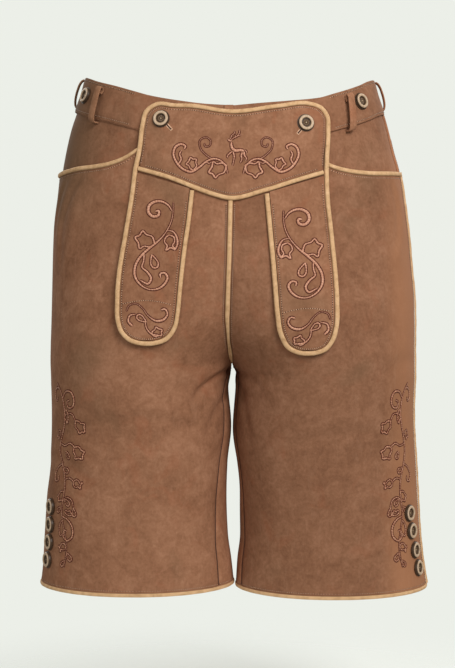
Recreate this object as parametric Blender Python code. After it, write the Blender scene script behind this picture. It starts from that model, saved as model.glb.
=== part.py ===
"""Knee-length folk shorts with a drop-front flap, in their worn form and hollow.

Every piece of cloth is a wall set out on one skin, the outer face of the shorts.
Each half of the shorts is a stack of rounded sections around one leg. Above the
crotch a half's section reaches past the middle, and it is cut there.
X points to the wearer's left, -Y to the front and +Z up. Lengths are metres.
A place on the skin is a side, a turn and a drop. The turn is in degrees: 0 at the
inner leg, 90 in front, 180 at the outer side, 270 behind. The drop is the depth
below the waist's sides.
"""

import math
from functools import lru_cache

import bmesh
import bpy
import numpy as np
from mathutils import Matrix, Vector

RIGHT, LEFT = -1, 1
NAMES = {RIGHT: "right", LEFT: "left"}

# Driving dimensions
CROTCH = 0.322
HEM = {RIGHT: 0.5655, LEFT: 0.5685}
BAND_HEIGHT = 0.038
CLOTH = 0.0020
BAND_CLOTH = 0.0030
SEAM = 0.0003
EDGE_WIDTH = 0.0047
LOOP_WIDTH = 0.0088
LOOP_CLOTH = 0.0020
BUTTON_RADIUS = 0.0085
BUTTON_HEIGHT = 0.0034

# How the layers lie on the skin, as the lift of their outer face
BAND_LIFT = 0.0006
FACING_LIFT = -CLOTH - 2 * SEAM
FLAP_SEAT = 0.0010
FLAP_LIFT = FLAP_SEAT + CLOTH
PIPING_LIFT = 0.0019
FLAP_EDGE_LIFT = FLAP_LIFT + 0.0004

# The waist line falls in front by this table of turn and drop, and behind to its dip
# as a power of the sine of the turn
WAIST_EDGE = {
    RIGHT: ((90.0, 0.0436), (97.0, 0.0422), (108.0, 0.0376), (118.6, 0.0318), (127.0, 0.0257),
            (137.0, 0.0190), (150.7, 0.0118), (162.0, 0.0062), (171.0, 0.0032), (180.0, 0.0020)),
    LEFT: ((90.0, 0.0438), (98.0, 0.0412), (108.0, 0.0384), (121.4, 0.0340), (130.0, 0.0281),
           (139.5, 0.0219), (147.4, 0.0168), (158.8, 0.0098), (170.0, 0.0062), (180.0, 0.0050)),
}
BACK_DIP = 0.0230
DIP_POWER = 1.9

# How square the sections are: 2 is an ellipse
SQUARENESS = 2.15

# From this drop down, a half's section draws back to its own side of the middle,
# softly at first and softly again at the crotch
SPLIT_START = 0.185
SPLIT_POWERS = (1.5, 1.35)

# One row for each level: drop, outer side on the wearer's right and left, inner
# side of the right and left leg, front depth, back depth
SECTIONS = (
    (-0.010, 0.1606, 0.1552, SEAM / 2, SEAM / 2, 0.1010, 0.1000),
    (0.000, 0.1626, 0.1572, SEAM / 2, SEAM / 2, 0.1030, 0.1030),
    (0.020, 0.1678, 0.1621, SEAM / 2, SEAM / 2, 0.1050, 0.1070),
    (0.038, 0.1741, 0.1681, SEAM / 2, SEAM / 2, 0.1070, 0.1110),
    (0.060, 0.1815, 0.1744, SEAM / 2, SEAM / 2, 0.1110, 0.1160),
    (0.085, 0.1873, 0.1805, SEAM / 2, SEAM / 2, 0.1145, 0.1210),
    (0.105, 0.1909, 0.1862, SEAM / 2, SEAM / 2, 0.1165, 0.1260),
    (0.140, 0.1949, 0.1920, SEAM / 2, SEAM / 2, 0.1190, 0.1340),
    (0.175, 0.1988, 0.1961, SEAM / 2, SEAM / 2, 0.1210, 0.1400),
    (0.210, 0.2002, 0.1994, SEAM / 2, SEAM / 2, 0.1220, 0.1440),
    (0.245, 0.2007, 0.2027, SEAM / 2, SEAM / 2, 0.1210, 0.1460),
    (0.280, 0.2012, 0.2040, SEAM / 2, SEAM / 2, 0.1190, 0.1440),
    (0.305, 0.2016, 0.2031, SEAM / 2, SEAM / 2, 0.1160, 0.1390),
    (0.322, 0.2019, 0.2028, SEAM / 2, SEAM / 2, 0.1130, 0.1340),
    (0.330, 0.2019, 0.2028, 0.0015, 0.0045, 0.1117, 0.1315),
    (0.345, 0.2021, 0.2028, 0.0040, 0.0035, 0.1090, 0.1270),
    (0.390, 0.2017, 0.2031, 0.0012, 0.0016, 0.1000, 0.1120),
    (0.430, 0.2025, 0.2051, 0.0050, 0.0055, 0.0935, 0.1000),
    (0.470, 0.2072, 0.2069, 0.0060, 0.0085, 0.0880, 0.0900),
    (0.510, 0.2100, 0.2104, 0.0045, 0.0092, 0.0830, 0.0830),
    (0.540, 0.2115, 0.2136, 0.0005, 0.0060, 0.0800, 0.0800),
    (0.566, 0.2142, 0.2178, -0.0020, 0.0045, 0.0780, 0.0780),
    (0.580, 0.2152, 0.2193, -0.0025, 0.0042, 0.0775, 0.0775),
)

# The seam down the front sways to the wearer's right on its way to the crotch:
# drop, shift, within this half reach
SWAY = ((0.100, 0.0000), (0.140, -0.0018), (0.200, -0.0031), (0.245, -0.0047),
        (0.268, -0.0054), (0.290, -0.0042), (0.307, -0.0020), (0.322, 0.0000))
SWAY_REACH = 0.045
# The legs hang lower in front: from this drop on, by this much at the hem
SAG_START = 0.400
SAG = 0.0030

# The turn of the side seams, and of the inner leg seams at the hem
SIDE_SEAM = {RIGHT: 189.0, LEFT: 173.0}
INSEAM_AT_HEM = {RIGHT: 35.0, LEFT: 19.0}

# The largest folds: side, turn, drop, half reach across in degrees, half reach
# down, lean in degrees of turn per metre of drop, height (below 0 is a trough)
FOLDS = (
    (RIGHT, 34.0, 0.340, 26.0, 0.010, 0.0, -0.0024),
    (LEFT, 24.0, 0.352, 18.0, 0.014, 0.0, -0.0020),
    (RIGHT, 150.0, 0.165, 5.0, 0.050, 60.0, 0.0020),
    (LEFT, 152.0, 0.195, 6.0, 0.050, -40.0, 0.0016),
    (RIGHT, 110.0, 0.392, 34.0, 0.014, 0.0, -0.0018),
    (LEFT, 125.0, 0.415, 30.0, 0.016, 0.0, -0.0016),
    (RIGHT, 318.0, 0.350, 26.0, 0.013, 0.0, -0.0030),
    (LEFT, 322.0, 0.346, 24.0, 0.013, 0.0, -0.0028),
    (RIGHT, 285.0, 0.400, 30.0, 0.016, 0.0, -0.0022),
    (LEFT, 280.0, 0.408, 32.0, 0.018, 0.0, -0.0020),
    (RIGHT, 232.0, 0.200, 7.0, 0.055, 30.0, 0.0018),
    (LEFT, 228.0, 0.190, 7.0, 0.055, -30.0, 0.0018),
)

# The pocket mouths, from under the flap to the side seam: distance from the
# middle, drop
POCKET_MOUTH = {
    RIGHT: ((0.0730, 0.0700), (0.1005, 0.0872), (0.1120, 0.0948), (0.1197, 0.0982),
            (0.1338, 0.1021), (0.1480, 0.1037), (0.1630, 0.1046), (0.1780, 0.1064),
            (0.1950, 0.1095)),
    LEFT: ((0.0730, 0.0700), (0.0880, 0.0900), (0.1000, 0.1030), (0.1149, 0.1078),
           (0.1303, 0.1100), (0.1462, 0.1106), (0.1625, 0.1097), (0.1950, 0.1066)),
}
# Where the binding of each mouth comes out from under the flap
MOUTH_START = {RIGHT: 0.1012, LEFT: 0.1026}
FACING_INNER = 0.078
FACING_TUCK = 0.015

# Lines of the flap, as x and drop
BIB_TOP = ((-0.0922, 0.0488), (-0.0795, 0.0400), (-0.0600, 0.0418), (-0.0450, 0.0423),
           (0.0000, 0.0488), (0.0490, 0.0424), (0.0795, 0.0390), (0.0950, 0.0440),
           (0.1022, 0.0545))
BIB_SIDE = {
    RIGHT: ((-0.1036, 0.1090), (-0.0992, 0.0880), (-0.0963, 0.0640)),
    LEFT: ((0.1010, 0.1130), (0.1015, 0.0990), (0.1030, 0.0680)),
}
# Shares of the bib's outline at its two top corners, and near its foot
BIB_CORNERS = (0.235, 0.775)
BIB_FOOT = 0.014
# The middle of the binding that crosses the flap in a shallow point
POINT = ((-0.0980, 0.1100), (-0.0633, 0.1207), (-0.0398, 0.1300), (-0.0185, 0.1376),
         (0.0000, 0.1418), (0.0335, 0.1339), (0.0678, 0.1226), (0.0951, 0.1141))
TAB_OUTER = {
    RIGHT: ((-0.1037, 0.1099), (-0.1074, 0.1390), (-0.1133, 0.1770), (-0.1186, 0.2150),
            (-0.1208, 0.2526), (-0.1206, 0.2690), (-0.1165, 0.2827), (-0.1085, 0.2910),
            (-0.0960, 0.2950), (-0.0895, 0.2954)),
    LEFT: ((0.1010, 0.1138), (0.1018, 0.1390), (0.1056, 0.1770), (0.1090, 0.2240),
           (0.1104, 0.2520), (0.1098, 0.2770), (0.1060, 0.2910), (0.0990, 0.3003),
           (0.0880, 0.3047), (0.0790, 0.3054)),
}
TAB_INNER = {
    RIGHT: ((-0.0385, 0.1305), (-0.0415, 0.1590), (-0.0465, 0.1965), (-0.0517, 0.2433),
            (-0.0535, 0.2600), (-0.0580, 0.2780), (-0.0680, 0.2900), (-0.0820, 0.2948),
            (-0.0895, 0.2952)),
    LEFT: ((0.0341, 0.1340), (0.0366, 0.1590), (0.0402, 0.1965), (0.0439, 0.2339),
           (0.0468, 0.2619), (0.0510, 0.2843), (0.0590, 0.2985), (0.0710, 0.3045),
           (0.0790, 0.3052)),
}

# The piping down the middle in front, from below the flap to the crotch
PIPING_TOP = 0.1445
PIPING_END = 0.3150

# The knife pocket on the wearer's right side: drop, front turn, back turn, lift of
# its bound edge, which stands off where it opens at the top
KNIFE_POCKET = ((0.200, 191.0, 207.0, 0.0052), (0.225, 191.6, 207.6, 0.0048),
                (0.250, 193.6, 208.2, 0.0038), (0.300, 196.0, 208.8, 0.0034),
                (0.326, 198.0, 207.0, 0.0034))
KNIFE_LIFT = 0.0034

# The belt loops: name, side, turn at the top and at the foot, and whether they are
# in front, where their ends fold under
BELT_LOOPS = (
    ("belt_loop_front_right", RIGHT, 144.2, 142.8, True),
    ("belt_loop_front_left", LEFT, 138.4, 135.2, True),
    ("belt_loop_side_right", RIGHT, 183.0, 183.0, False),
    ("belt_loop_side_left", LEFT, 183.0, 183.0, False),
    ("belt_loop_back", RIGHT, 270.0, 270.0, False),
)
# A loop's line at the middle of its cloth: lift, drop below the waist line. In front
# it ends on the pocket's facing
FRONT_LOOP = ((0.0036, 0.0098), (0.0020, 0.0064), (0.0029, 0.0036), (0.0052, 0.0030),
              (0.0068, 0.0056), (0.0073, 0.0120), (0.0074, 0.0240), (0.0070, 0.0360),
              (0.0058, 0.0424), (0.0036, 0.0446), (0.0012, 0.0442),
              (FACING_LIFT + 2 * SEAM, 0.0436))
SIDE_LOOP = ((0.0020, 0.0012), (0.0044, 0.0034), (0.0064, 0.0080), (0.0074, 0.0150),
             (0.0074, 0.0230), (0.0064, 0.0300), (0.0040, 0.0350), (0.0020, 0.0366))

# Buttons on the bib and the waistband: name, x, drop, lift of their back
FRONT_BUTTONS = (
    ("button_bib_right", -0.0740, 0.0583, FLAP_LIFT + SEAM),
    ("button_bib_left", 0.0765, 0.0625, FLAP_LIFT + SEAM),
    ("button_band_right", -0.1585, 0.0262, BAND_LIFT + 2 * SEAM),
    ("button_band_left", 0.1379, 0.0350, BAND_LIFT + 2 * SEAM),
)
# Buttons at the hem's outer side, top to bottom: x, drop
HEM_BUTTONS = {
    RIGHT: ((0.1982, 0.4752), (0.1994, 0.4949), (0.2008, 0.5146), (0.2026, 0.5343)),
    LEFT: ((0.1930, 0.4810), (0.1960, 0.5008), (0.2005, 0.5226), (0.2045, 0.5430)),
}
# A button's turned outline: share of the radius, share of the height
BUTTON_OUTLINE = ((0.00, 0.36), (0.56, 0.36), (0.68, 1.00), (0.91, 1.00), (1.00, 0.72),
                  (1.00, 0.00), (0.00, 0.00))
BUTTON_STEPS = 12

# Levels of the rows of the fronts and backs; above the first the rows close up
# towards the top edge
TOP_ROWS = 5
LEVELS = (0.148, 0.175, 0.202, 0.228, 0.250, 0.268, 0.284, 0.297, 0.307, 0.3145, 0.319,
          0.322, 0.327, 0.336, 0.348, 0.364, 0.384, 0.408, 0.434, 0.462, 0.490, 0.516,
          0.540)
FRONT_COLUMNS = 14
BACK_COLUMNS = 12

# Colours as linear red, green and blue, with roughness
SKINS = {
    "suede": (0.300, 0.140, 0.077, 0.88),
    "band_suede": (0.255, 0.118, 0.064, 0.88),
    "edging": (0.610, 0.400, 0.230, 0.80),
    "horn": (0.420, 0.270, 0.170, 0.42),
}


def clear_scene():
    """Removes every object that the file opened with."""
    for thing in list(bpy.data.objects):
        bpy.data.objects.remove(thing, do_unlink=True)


def make_skins():
    """Makes one Principled material for each row of SKINS."""
    made = {}
    for name, (red, green, blue, roughness) in SKINS.items():
        material = bpy.data.materials.new(name)
        material.use_nodes = True
        shader = material.node_tree.nodes["Principled BSDF"]
        shader.inputs["Base Color"].default_value = (red, green, blue, 1.0)
        shader.inputs["Roughness"].default_value = roughness
        shader.inputs["Metallic"].default_value = 0.0
        made[name] = material
    return made


def even_slopes(places, values):
    """Slopes for a curve through a table that never swings past its rows."""
    rises = np.diff(values) / np.diff(places)
    slopes = np.zeros(len(values))
    slopes[0], slopes[-1] = rises[0], rises[-1]
    for i in range(1, len(values) - 1):
        before, after = rises[i - 1], rises[i]
        if before * after > 0.0:
            slopes[i] = 2.0 * before * after / (before + after)
    return slopes


def follow(where, places, values, slopes):
    """Reads a smooth curve through a table, given the slope at each row."""
    i = int(np.clip(np.searchsorted(places, where) - 1, 0, len(places) - 2))
    span = places[i + 1] - places[i]
    t = (where - places[i]) / span
    rise = values[i + 1] - values[i]
    start, end = slopes[i] * span, slopes[i + 1] * span
    return values[i] + t * (start + t * (3 * rise - 2 * start - end
                                         + t * (start + end - 2 * rise)))


SECTION_TABLE = np.array(SECTIONS)
SECTION_SLOPES = [even_slopes(SECTION_TABLE[:, 0], column) for column in SECTION_TABLE.T]


@lru_cache(maxsize=None)
def section(side, drop):
    """A half's section at a level: its middle, half width, front and back depth."""
    places = SECTION_TABLE[:, 0]
    columns = (1, 3, 5, 6) if side == RIGHT else (2, 4, 5, 6)
    outer, inner, front_depth, back_depth = (
        float(follow(drop, places, SECTION_TABLE[:, c], SECTION_SLOPES[c])) for c in columns)
    if drop < CROTCH:
        share = min(1.0, (CROTCH - drop) / (CROTCH - SPLIT_START))
        near, far = SPLIT_POWERS
        inner -= (1.0 - (1.0 - share ** near) ** far) * outer
    return (outer + inner) / 2, (outer - inner) / 2, front_depth, back_depth


def powered(value, power):
    """A power that keeps the sign."""
    return math.copysign(abs(value) ** power, value)


def fold_height(side, turn, drop):
    """How far the folds push the skin out at a place."""
    total = 0.0
    for fold_side, at, level, across, down, lean, height in FOLDS:
        if fold_side == side:
            aside = (turn % 360.0 - at - lean * (drop - level)) / across
            below = (drop - level) / down
            total += height * math.exp(-aside * aside - below * below)
    return total


def sway(drop):
    """How far the front's middle is shifted at a level."""
    return float(np.interp(drop, *np.array(SWAY).T))


def bare_skin(side, turn, drop):
    """A point of the skin itself."""
    middle, half, front_depth, back_depth = section(side, drop)
    angle = math.radians(turn)
    depth = front_depth if math.sin(angle) > 0.0 else back_depth
    aside = -powered(math.cos(angle), 2.0 / SQUARENESS)
    ahead = powered(math.sin(angle), 2.0 / SQUARENESS)
    outward = Vector((aside / half, -ahead / depth, 0.0)).normalized()
    flat = Vector((middle + half * aside, -depth * ahead, 0.0))
    point = flat + outward * fold_height(side, turn, drop)
    return Vector((side * point.x, point.y, -drop))


def skin(side, turn, drop, lift=0.0):
    """A point of the skin, lifted off it along its normal, with the front's sway."""
    point = bare_skin(side, turn, drop)
    if lift != 0.0:
        around = bare_skin(side, turn + 0.25, drop) - bare_skin(side, turn - 0.25, drop)
        down = bare_skin(side, turn, drop + 0.0005) - bare_skin(side, turn, drop - 0.0005)
        point += down.cross(around).normalized() * side * lift
    ahead = math.sin(math.radians(turn))
    if ahead > 0.0:
        below = max(0.0, min(1.0, (drop - SAG_START) / (HEM[side] - SAG_START)))
        point.x += sway(drop) * math.exp(-(point.x / SWAY_REACH) ** 2)
        point.z -= SAG * (ahead * below) ** 2
    return point


def turn_at(side, reach, drop):
    """The turn in front at which the skin is this far from the middle."""
    middle, half, _, _ = section(side, drop)
    cosine = powered((middle - reach) / half, SQUARENESS / 2.0)
    return math.degrees(math.acos(max(-1.0, min(1.0, cosine))))


def reach_at(side, turn, drop):
    """How far the skin is from the middle at a turn."""
    return abs(bare_skin(side, turn, drop).x)


def front(x, drop, lift=0.0):
    """A point on the front, by its x and its drop."""
    side = RIGHT if x < 0.0 else LEFT
    return skin(side, turn_at(side, abs(x), drop), drop, lift)


def degrees_for(side, turn, drop, distance):
    """How many degrees of turn a distance along the skin takes."""
    step = bare_skin(side, turn + 0.5, drop) - bare_skin(side, turn - 0.5, drop)
    return distance / step.length


def inner_turn(side, drop):
    """Where the front of a half begins: the middle, or the inner leg seam."""
    clear = degrees_for(side, 0.5, drop, SEAM / 2)
    if drop < CROTCH:
        return max(turn_at(side, SEAM / 2, drop), clear)
    return INSEAM_AT_HEM[side] * (drop - CROTCH) / (HEM[side] - CROTCH) + clear


def back_turn(side, drop):
    """Where the back of a half ends, counted on round from its side seam."""
    clear = degrees_for(side, 0.5, drop, SEAM / 2)
    if drop < CROTCH:
        return 360.0 - max(turn_at(side, SEAM / 2, drop), clear)
    return 360.0 + inner_turn(side, drop) - 2.0 * clear


WAIST_SLOPES = {
    side: even_slopes(*np.array(table).T) for side, table in WAIST_EDGE.items()}


def waist_line(side, turn):
    """The drop of the waist's top edge at a turn."""
    turn = turn % 360.0
    places, drops = np.array(WAIST_EDGE[side]).T
    if turn <= 180.0:
        return float(follow(max(turn, 180.0 - turn), places, drops, WAIST_SLOPES[side]))
    return blend(drops[-1], BACK_DIP, abs(math.sin(math.radians(turn))) ** DIP_POWER)


def band_foot(side, turn):
    """The drop of the cloth's edge just below the waistband."""
    return waist_line(side, turn) + BAND_HEIGHT + SEAM


MOUTH_SLOPES = {
    side: even_slopes(*np.array(table).T) for side, table in POCKET_MOUTH.items()}


def mouth(side, turn):
    """The drop of a pocket's mouth at a turn."""
    places, drops = np.array(POCKET_MOUTH[side]).T
    reach = reach_at(side, turn, 0.100)
    if reach < places[0]:
        return 0.0
    return float(follow(reach, places, drops, MOUTH_SLOPES[side]))


def blend(start, end, share):
    """A value or point part of the way from start to end."""
    return start + (end - start) * share


class Line:
    """A smooth line through points on the front, as x and drop."""

    def __init__(self, points, samples=240):
        knots = np.array(points)
        lengths = np.append(0.0, np.cumsum(np.linalg.norm(np.diff(knots, axis=0), axis=1)))
        slopes = np.gradient(knots, lengths, axis=0)
        places = np.linspace(0.0, lengths[-1], samples)
        self.points = np.array([[follow(p, lengths, knots[:, c], slopes[:, c])
                                 for c in (0, 1)] for p in places])
        steps = np.linalg.norm(np.diff(self.points, axis=0), axis=1)
        self.lengths = np.append(0.0, np.cumsum(steps))
        self.length = self.lengths[-1]

    def at(self, share, beside=0.0):
        """A point at a share of the length, moved to the left of the way along."""
        along = np.clip(share, 0.0, 1.0) * self.length
        point = self.read(along)
        if beside:
            ahead = self.read(min(along + 0.0008, self.length)) \
                - self.read(max(along - 0.0008, 0.0))
            ahead /= np.linalg.norm(ahead)
            point = point + beside * np.array((ahead[1], -ahead[0]))
        return point

    def read(self, along):
        """The point at a length along the line."""
        return np.array([np.interp(along, self.lengths, self.points[:, c]) for c in (0, 1)])


def finish(name, mesh_data, material):
    """Turns a bmesh into a named object with its material."""
    bmesh.ops.recalc_face_normals(mesh_data, faces=mesh_data.faces)
    if mesh_data.calc_volume(signed=True) < 0.0:
        bmesh.ops.reverse_faces(mesh_data, faces=mesh_data.faces)
    mesh = bpy.data.meshes.new(name)
    mesh_data.to_mesh(mesh)
    mesh_data.free()
    mesh.materials.append(material)
    mesh.shade_smooth()
    mesh.set_sharp_from_angle(angle=math.radians(35.0))
    thing = bpy.data.objects.new(name, mesh)
    bpy.context.scene.collection.objects.link(thing)
    return thing


def wall(name, across, down, place, low, high, material, ring=False):
    """A closed wall of across by down cells. place(u, v, lift) sets out its points."""
    cells = bmesh.new()
    bmesh.ops.create_grid(cells, x_segments=across, y_segments=down, size=0.5)
    layer = cells.verts.layers.float_vector.new("place")
    for vert in cells.verts:
        vert[layer] = (vert.co.x + 0.5, vert.co.y + 0.5, 0.0)
        vert.co = place(vert[layer][0], vert[layer][1], high)
    if ring:
        bmesh.ops.remove_doubles(cells, verts=cells.verts, dist=0.00001)
    grown = bmesh.ops.extrude_face_region(cells, geom=cells.faces, use_keep_orig=True)
    for vert in grown["geom"]:
        if isinstance(vert, bmesh.types.BMVert):
            vert.co = place(vert[layer][0], vert[layer][1], low)
    return finish(name, cells, material)


def strip(name, line, near, far, cells, material, start=0.0, end=1.0):
    """A strip of binding on the flap, between two offsets beside a line."""
    def place(u, v, lift):
        x, drop = line.at(blend(start, end, u), blend(near, far, v))
        return front(x, drop, lift)
    return wall(name, cells, 1, place, FLAP_SEAT, FLAP_EDGE_LIFT, material)


def row_drop(share, top, hem):
    """The drop of a row of a front or back, between its top edge and its hem."""
    rows = TOP_ROWS + len(LEVELS)
    row = share * rows
    if row <= TOP_ROWS:
        return blend(top, LEVELS[0], row / TOP_ROWS)
    return float(np.interp(row, range(TOP_ROWS, rows + 1), LEVELS + (hem,)))


def make_leg_panels(side, materials):
    """The front and the back of one half."""
    hem = HEM[side] - EDGE_WIDTH - SEAM
    seam = SIDE_SEAM[side]

    def front_place(u, v, lift):
        guess = blend(90.0, seam, u)
        top = max(band_foot(side, guess), mouth(side, guess))
        drop = row_drop(v, top, hem)
        edge = seam - degrees_for(side, seam, drop, SEAM / 2)
        return skin(side, blend(inner_turn(side, drop), edge, u), drop, lift)

    def back_place(u, v, lift):
        top = band_foot(side, blend(seam, 270.0, u))
        drop = row_drop(v, top, hem)
        edge = seam + degrees_for(side, seam, drop, SEAM / 2)
        return skin(side, blend(edge, back_turn(side, drop), u), drop, lift)

    rows = TOP_ROWS + len(LEVELS)
    suede = materials["suede"]
    wall("front_" + NAMES[side], FRONT_COLUMNS, rows, front_place, -CLOTH, 0.0, suede)
    wall("back_" + NAMES[side], BACK_COLUMNS, rows, back_place, -CLOTH, 0.0, suede)


def make_facing(side, materials):
    """The cloth that shows above a pocket's mouth, tucked behind the front."""
    def place(u, v, lift):
        seam = SIDE_SEAM[side]
        start = turn_at(side, FACING_INNER, 0.080)
        edge = seam - degrees_for(side, seam, 0.080, SEAM / 2)
        turn = blend(start, edge, u)
        drop = blend(band_foot(side, turn), mouth(side, turn) + FACING_TUCK, v)
        return skin(side, turn, drop, lift)
    wall("pocket_facing_" + NAMES[side], 14, 5, place, FACING_LIFT - CLOTH, FACING_LIFT,
         materials["band_suede"])


def make_band(side, materials):
    """Half of the waistband, from the middle in front to the middle behind."""
    def place(u, v, lift):
        start = turn_at(side, SEAM / 2, 0.050)
        turn = blend(start, 360.0 - start, u)
        return skin(side, turn, waist_line(side, turn) + v * BAND_HEIGHT, lift)
    wall("waistband_" + NAMES[side], 30, 2, place, BAND_LIFT - BAND_CLOTH, BAND_LIFT,
         materials["band_suede"])


def make_flap(materials):
    """The bib, the two tabs, and the bindings round them."""
    suede, edging = materials["suede"], materials["edging"]
    outline, point = Line(BIB_SIDE[RIGHT] + BIB_TOP + BIB_SIDE[LEFT][::-1]), Line(POINT)
    inset = EDGE_WIDTH + 2 * SEAM
    half = EDGE_WIDTH / 2

    def bib_place(u, v, lift):
        first, last = BIB_CORNERS
        upper = outline.at(blend(first, last, u), -inset)
        lower = point.at(blend(0.006, 0.994, u), half + SEAM)
        straight = blend(outline.at(first, -inset), point.at(0.006, half + SEAM), v)
        bulge = (outline.at(blend(first, BIB_FOOT, v), -inset) - straight) * (1.0 - u)
        straight = blend(outline.at(last, -inset), point.at(0.994, half + SEAM), v)
        bulge = bulge + (outline.at(blend(last, 1.0 - BIB_FOOT, v), -inset) - straight) * u
        x, drop = blend(upper, lower, v) + bulge * (1.0 - v ** 6)
        return front(x, drop, lift)
    wall("flap_bib", 18, 8, bib_place, FLAP_SEAT, FLAP_LIFT, suede)

    strip("bib_edging", outline, -EDGE_WIDTH, 0.0, 36, edging)
    strip("flap_point_edging", point, -half, half, 16, edging)

    for side in (RIGHT, LEFT):
        outer, inner = Line(TAB_OUTER[side]), Line(TAB_INNER[side])
        inward = -side * inset

        def tab_place(u, v, lift, outer=outer, inner=inner, inward=inward):
            outside = outer.at(blend(0.020, 0.955, v), inward)
            inside = inner.at(blend(0.009, 0.955, v), -inward)
            x, drop = blend(outside, inside, u)
            return front(x, drop, lift)
        wall("flap_tab_" + NAMES[side], 6, 16, tab_place, FLAP_SEAT, FLAP_LIFT, suede)
        around = Line(TAB_OUTER[side] + TAB_INNER[side][-2::-1])
        strip("tab_edging_" + NAMES[side], around, 0.0, -side * EDGE_WIDTH, 36, edging,
              end=0.991)


def make_seam_edgings(side, materials):
    """The bindings of the pocket mouth, the side seam and the hem of one half."""
    edging = materials["edging"]
    seam = SIDE_SEAM[side]
    start = turn_at(side, MOUTH_START[side], 0.095)
    end = seam - degrees_for(side, seam, 0.110, EDGE_WIDTH / 2 + SEAM)

    def mouth_place(u, v, lift):
        turn = blend(start, end, u)
        return skin(side, turn, mouth(side, turn) + v * EDGE_WIDTH, lift)
    wall("pocket_edging_" + NAMES[side], 14, 1, mouth_place, SEAM, PIPING_LIFT, edging)

    top, hem = mouth(side, seam), HEM[side] - EDGE_WIDTH - SEAM

    def side_place(u, v, lift):
        drop = row_drop(v, top, hem)
        half = degrees_for(side, seam, drop, EDGE_WIDTH / 2)
        return skin(side, seam + half * (2 * u - 1), drop, lift)
    rows = TOP_ROWS + len(LEVELS)
    wall("side_piping_" + NAMES[side], 1, rows, side_place, SEAM, PIPING_LIFT, edging)

    def hem_place(u, v, lift):
        return skin(side, 360.0 * u, HEM[side] - EDGE_WIDTH * (1 - v), lift)
    wall("hem_edging_" + NAMES[side], 28, 1, hem_place, -CLOTH - SEAM, 2 * SEAM, edging,
         ring=True)


def make_centre_piping(materials):
    """The piping down the middle in front, folded into the groove of the two fronts."""
    levels = [PIPING_TOP] + [level for level in LEVELS if level < PIPING_END]
    rows = len(levels) - 1

    def place(u, v, lift):
        drop = float(np.interp(v * rows, range(rows + 1), levels))
        if u != 0.5:
            return front(EDGE_WIDTH * (u - 0.5), drop, lift)
        seat = front(SEAM / 2, drop)
        out = front(SEAM / 2, drop, 1.0) - seat
        seat.x, out.x = sway(drop), 0.0
        return seat + out * (lift / out.length_squared)
    wall("centre_piping", 2, rows, place, 2 * SEAM, PIPING_LIFT, materials["edging"])


def make_knife_pocket(materials):
    """The long pocket on the wearer's right side, with its bound front edge."""
    table = np.array(KNIFE_POCKET)
    slopes = [even_slopes(table[:, 0], column) for column in table.T]

    def edges(drop):
        return [follow(drop, table[:, 0], table[:, c], slopes[c]) for c in (1, 2, 3)]

    def place(u, v, lift):
        drop = blend(table[0, 0], table[-1, 0], v)
        ahead, behind, stand = edges(drop)
        ahead += degrees_for(RIGHT, ahead, drop, EDGE_WIDTH + SEAM)
        gape = (stand - KNIFE_LIFT) * (1.0 - u) ** 2
        return skin(RIGHT, blend(ahead, behind, u), drop, lift + gape)
    wall("knife_pocket", 5, 8, place, SEAM, SEAM + CLOTH, materials["suede"])

    def edge_place(u, v, lift):
        drop = blend(table[0, 0], table[-1, 0], v)
        ahead, _, stand = edges(drop)
        return skin(RIGHT, ahead + degrees_for(RIGHT, ahead, drop, EDGE_WIDTH * u), drop,
                    stand if lift else SEAM)
    wall("knife_pocket_edging", 1, 8, edge_place, 0, 1, materials["edging"])


def make_belt_loops(materials):
    """The five straps that stand off the waistband."""
    for name, side, turn, foot_turn, in_front in BELT_LOOPS:
        line = Line(FRONT_LOOP if in_front else SIDE_LOOP)

        def place(u, v, lift, side=side, turn=turn, foot_turn=foot_turn, line=line):
            out, below = line.at(v, lift)
            middle = blend(turn, foot_turn, below / BAND_HEIGHT)
            half = degrees_for(side, turn, 0.030, LOOP_WIDTH / 2)
            here = middle + half * (2 * u - 1)
            return skin(side, here, waist_line(side, here) + below, out)
        wall(name, 1, 16, place, -LOOP_CLOTH / 2, LOOP_CLOTH / 2, materials["band_suede"])


def make_button(name, seat, outward, material):
    """A turned button that lies on its seat and faces outward."""
    turned = bmesh.new()
    profile = [turned.verts.new((BUTTON_RADIUS * r, 0.0, BUTTON_HEIGHT * h))
               for r, h in BUTTON_OUTLINE]
    edges = [turned.edges.new(pair) for pair in zip(profile, profile[1:])]
    bmesh.ops.spin(turned, geom=profile + edges, cent=(0, 0, 0), axis=(0, 0, 1),
                   angle=2 * math.pi, steps=BUTTON_STEPS, use_merge=True)
    bmesh.ops.remove_doubles(turned, verts=turned.verts, dist=0.00001)
    facing = outward.to_track_quat("Z", "Y").to_matrix().to_4x4()
    turned.transform(Matrix.Translation(seat) @ facing)
    finish(name, turned, material)


def make_buttons(materials):
    """The buttons of the bib, the waistband and the hems."""
    places = [(name, RIGHT if x < 0 else LEFT, abs(x), drop, lift)
              for name, x, drop, lift in FRONT_BUTTONS]
    for side, rows in HEM_BUTTONS.items():
        for i, (reach, drop) in enumerate(rows, start=1):
            places.append((f"button_hem_{NAMES[side]}_{i}", side, reach, drop, 2 * SEAM))
    for name, side, reach, drop, lift in places:
        turn = turn_at(side, reach, drop)
        seat = skin(side, turn, drop, lift)
        outward = (skin(side, turn, drop, 0.01) - skin(side, turn, drop)).normalized()
        make_button(name, seat, outward, materials["horn"])


def main():
    """Builds the shorts."""
    clear_scene()
    materials = make_skins()
    for side in (RIGHT, LEFT):
        make_leg_panels(side, materials)
        make_facing(side, materials)
        make_band(side, materials)
        make_seam_edgings(side, materials)
    make_flap(materials)
    make_centre_piping(materials)
    make_knife_pocket(materials)
    make_belt_loops(materials)
    make_buttons(materials)


main()
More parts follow.
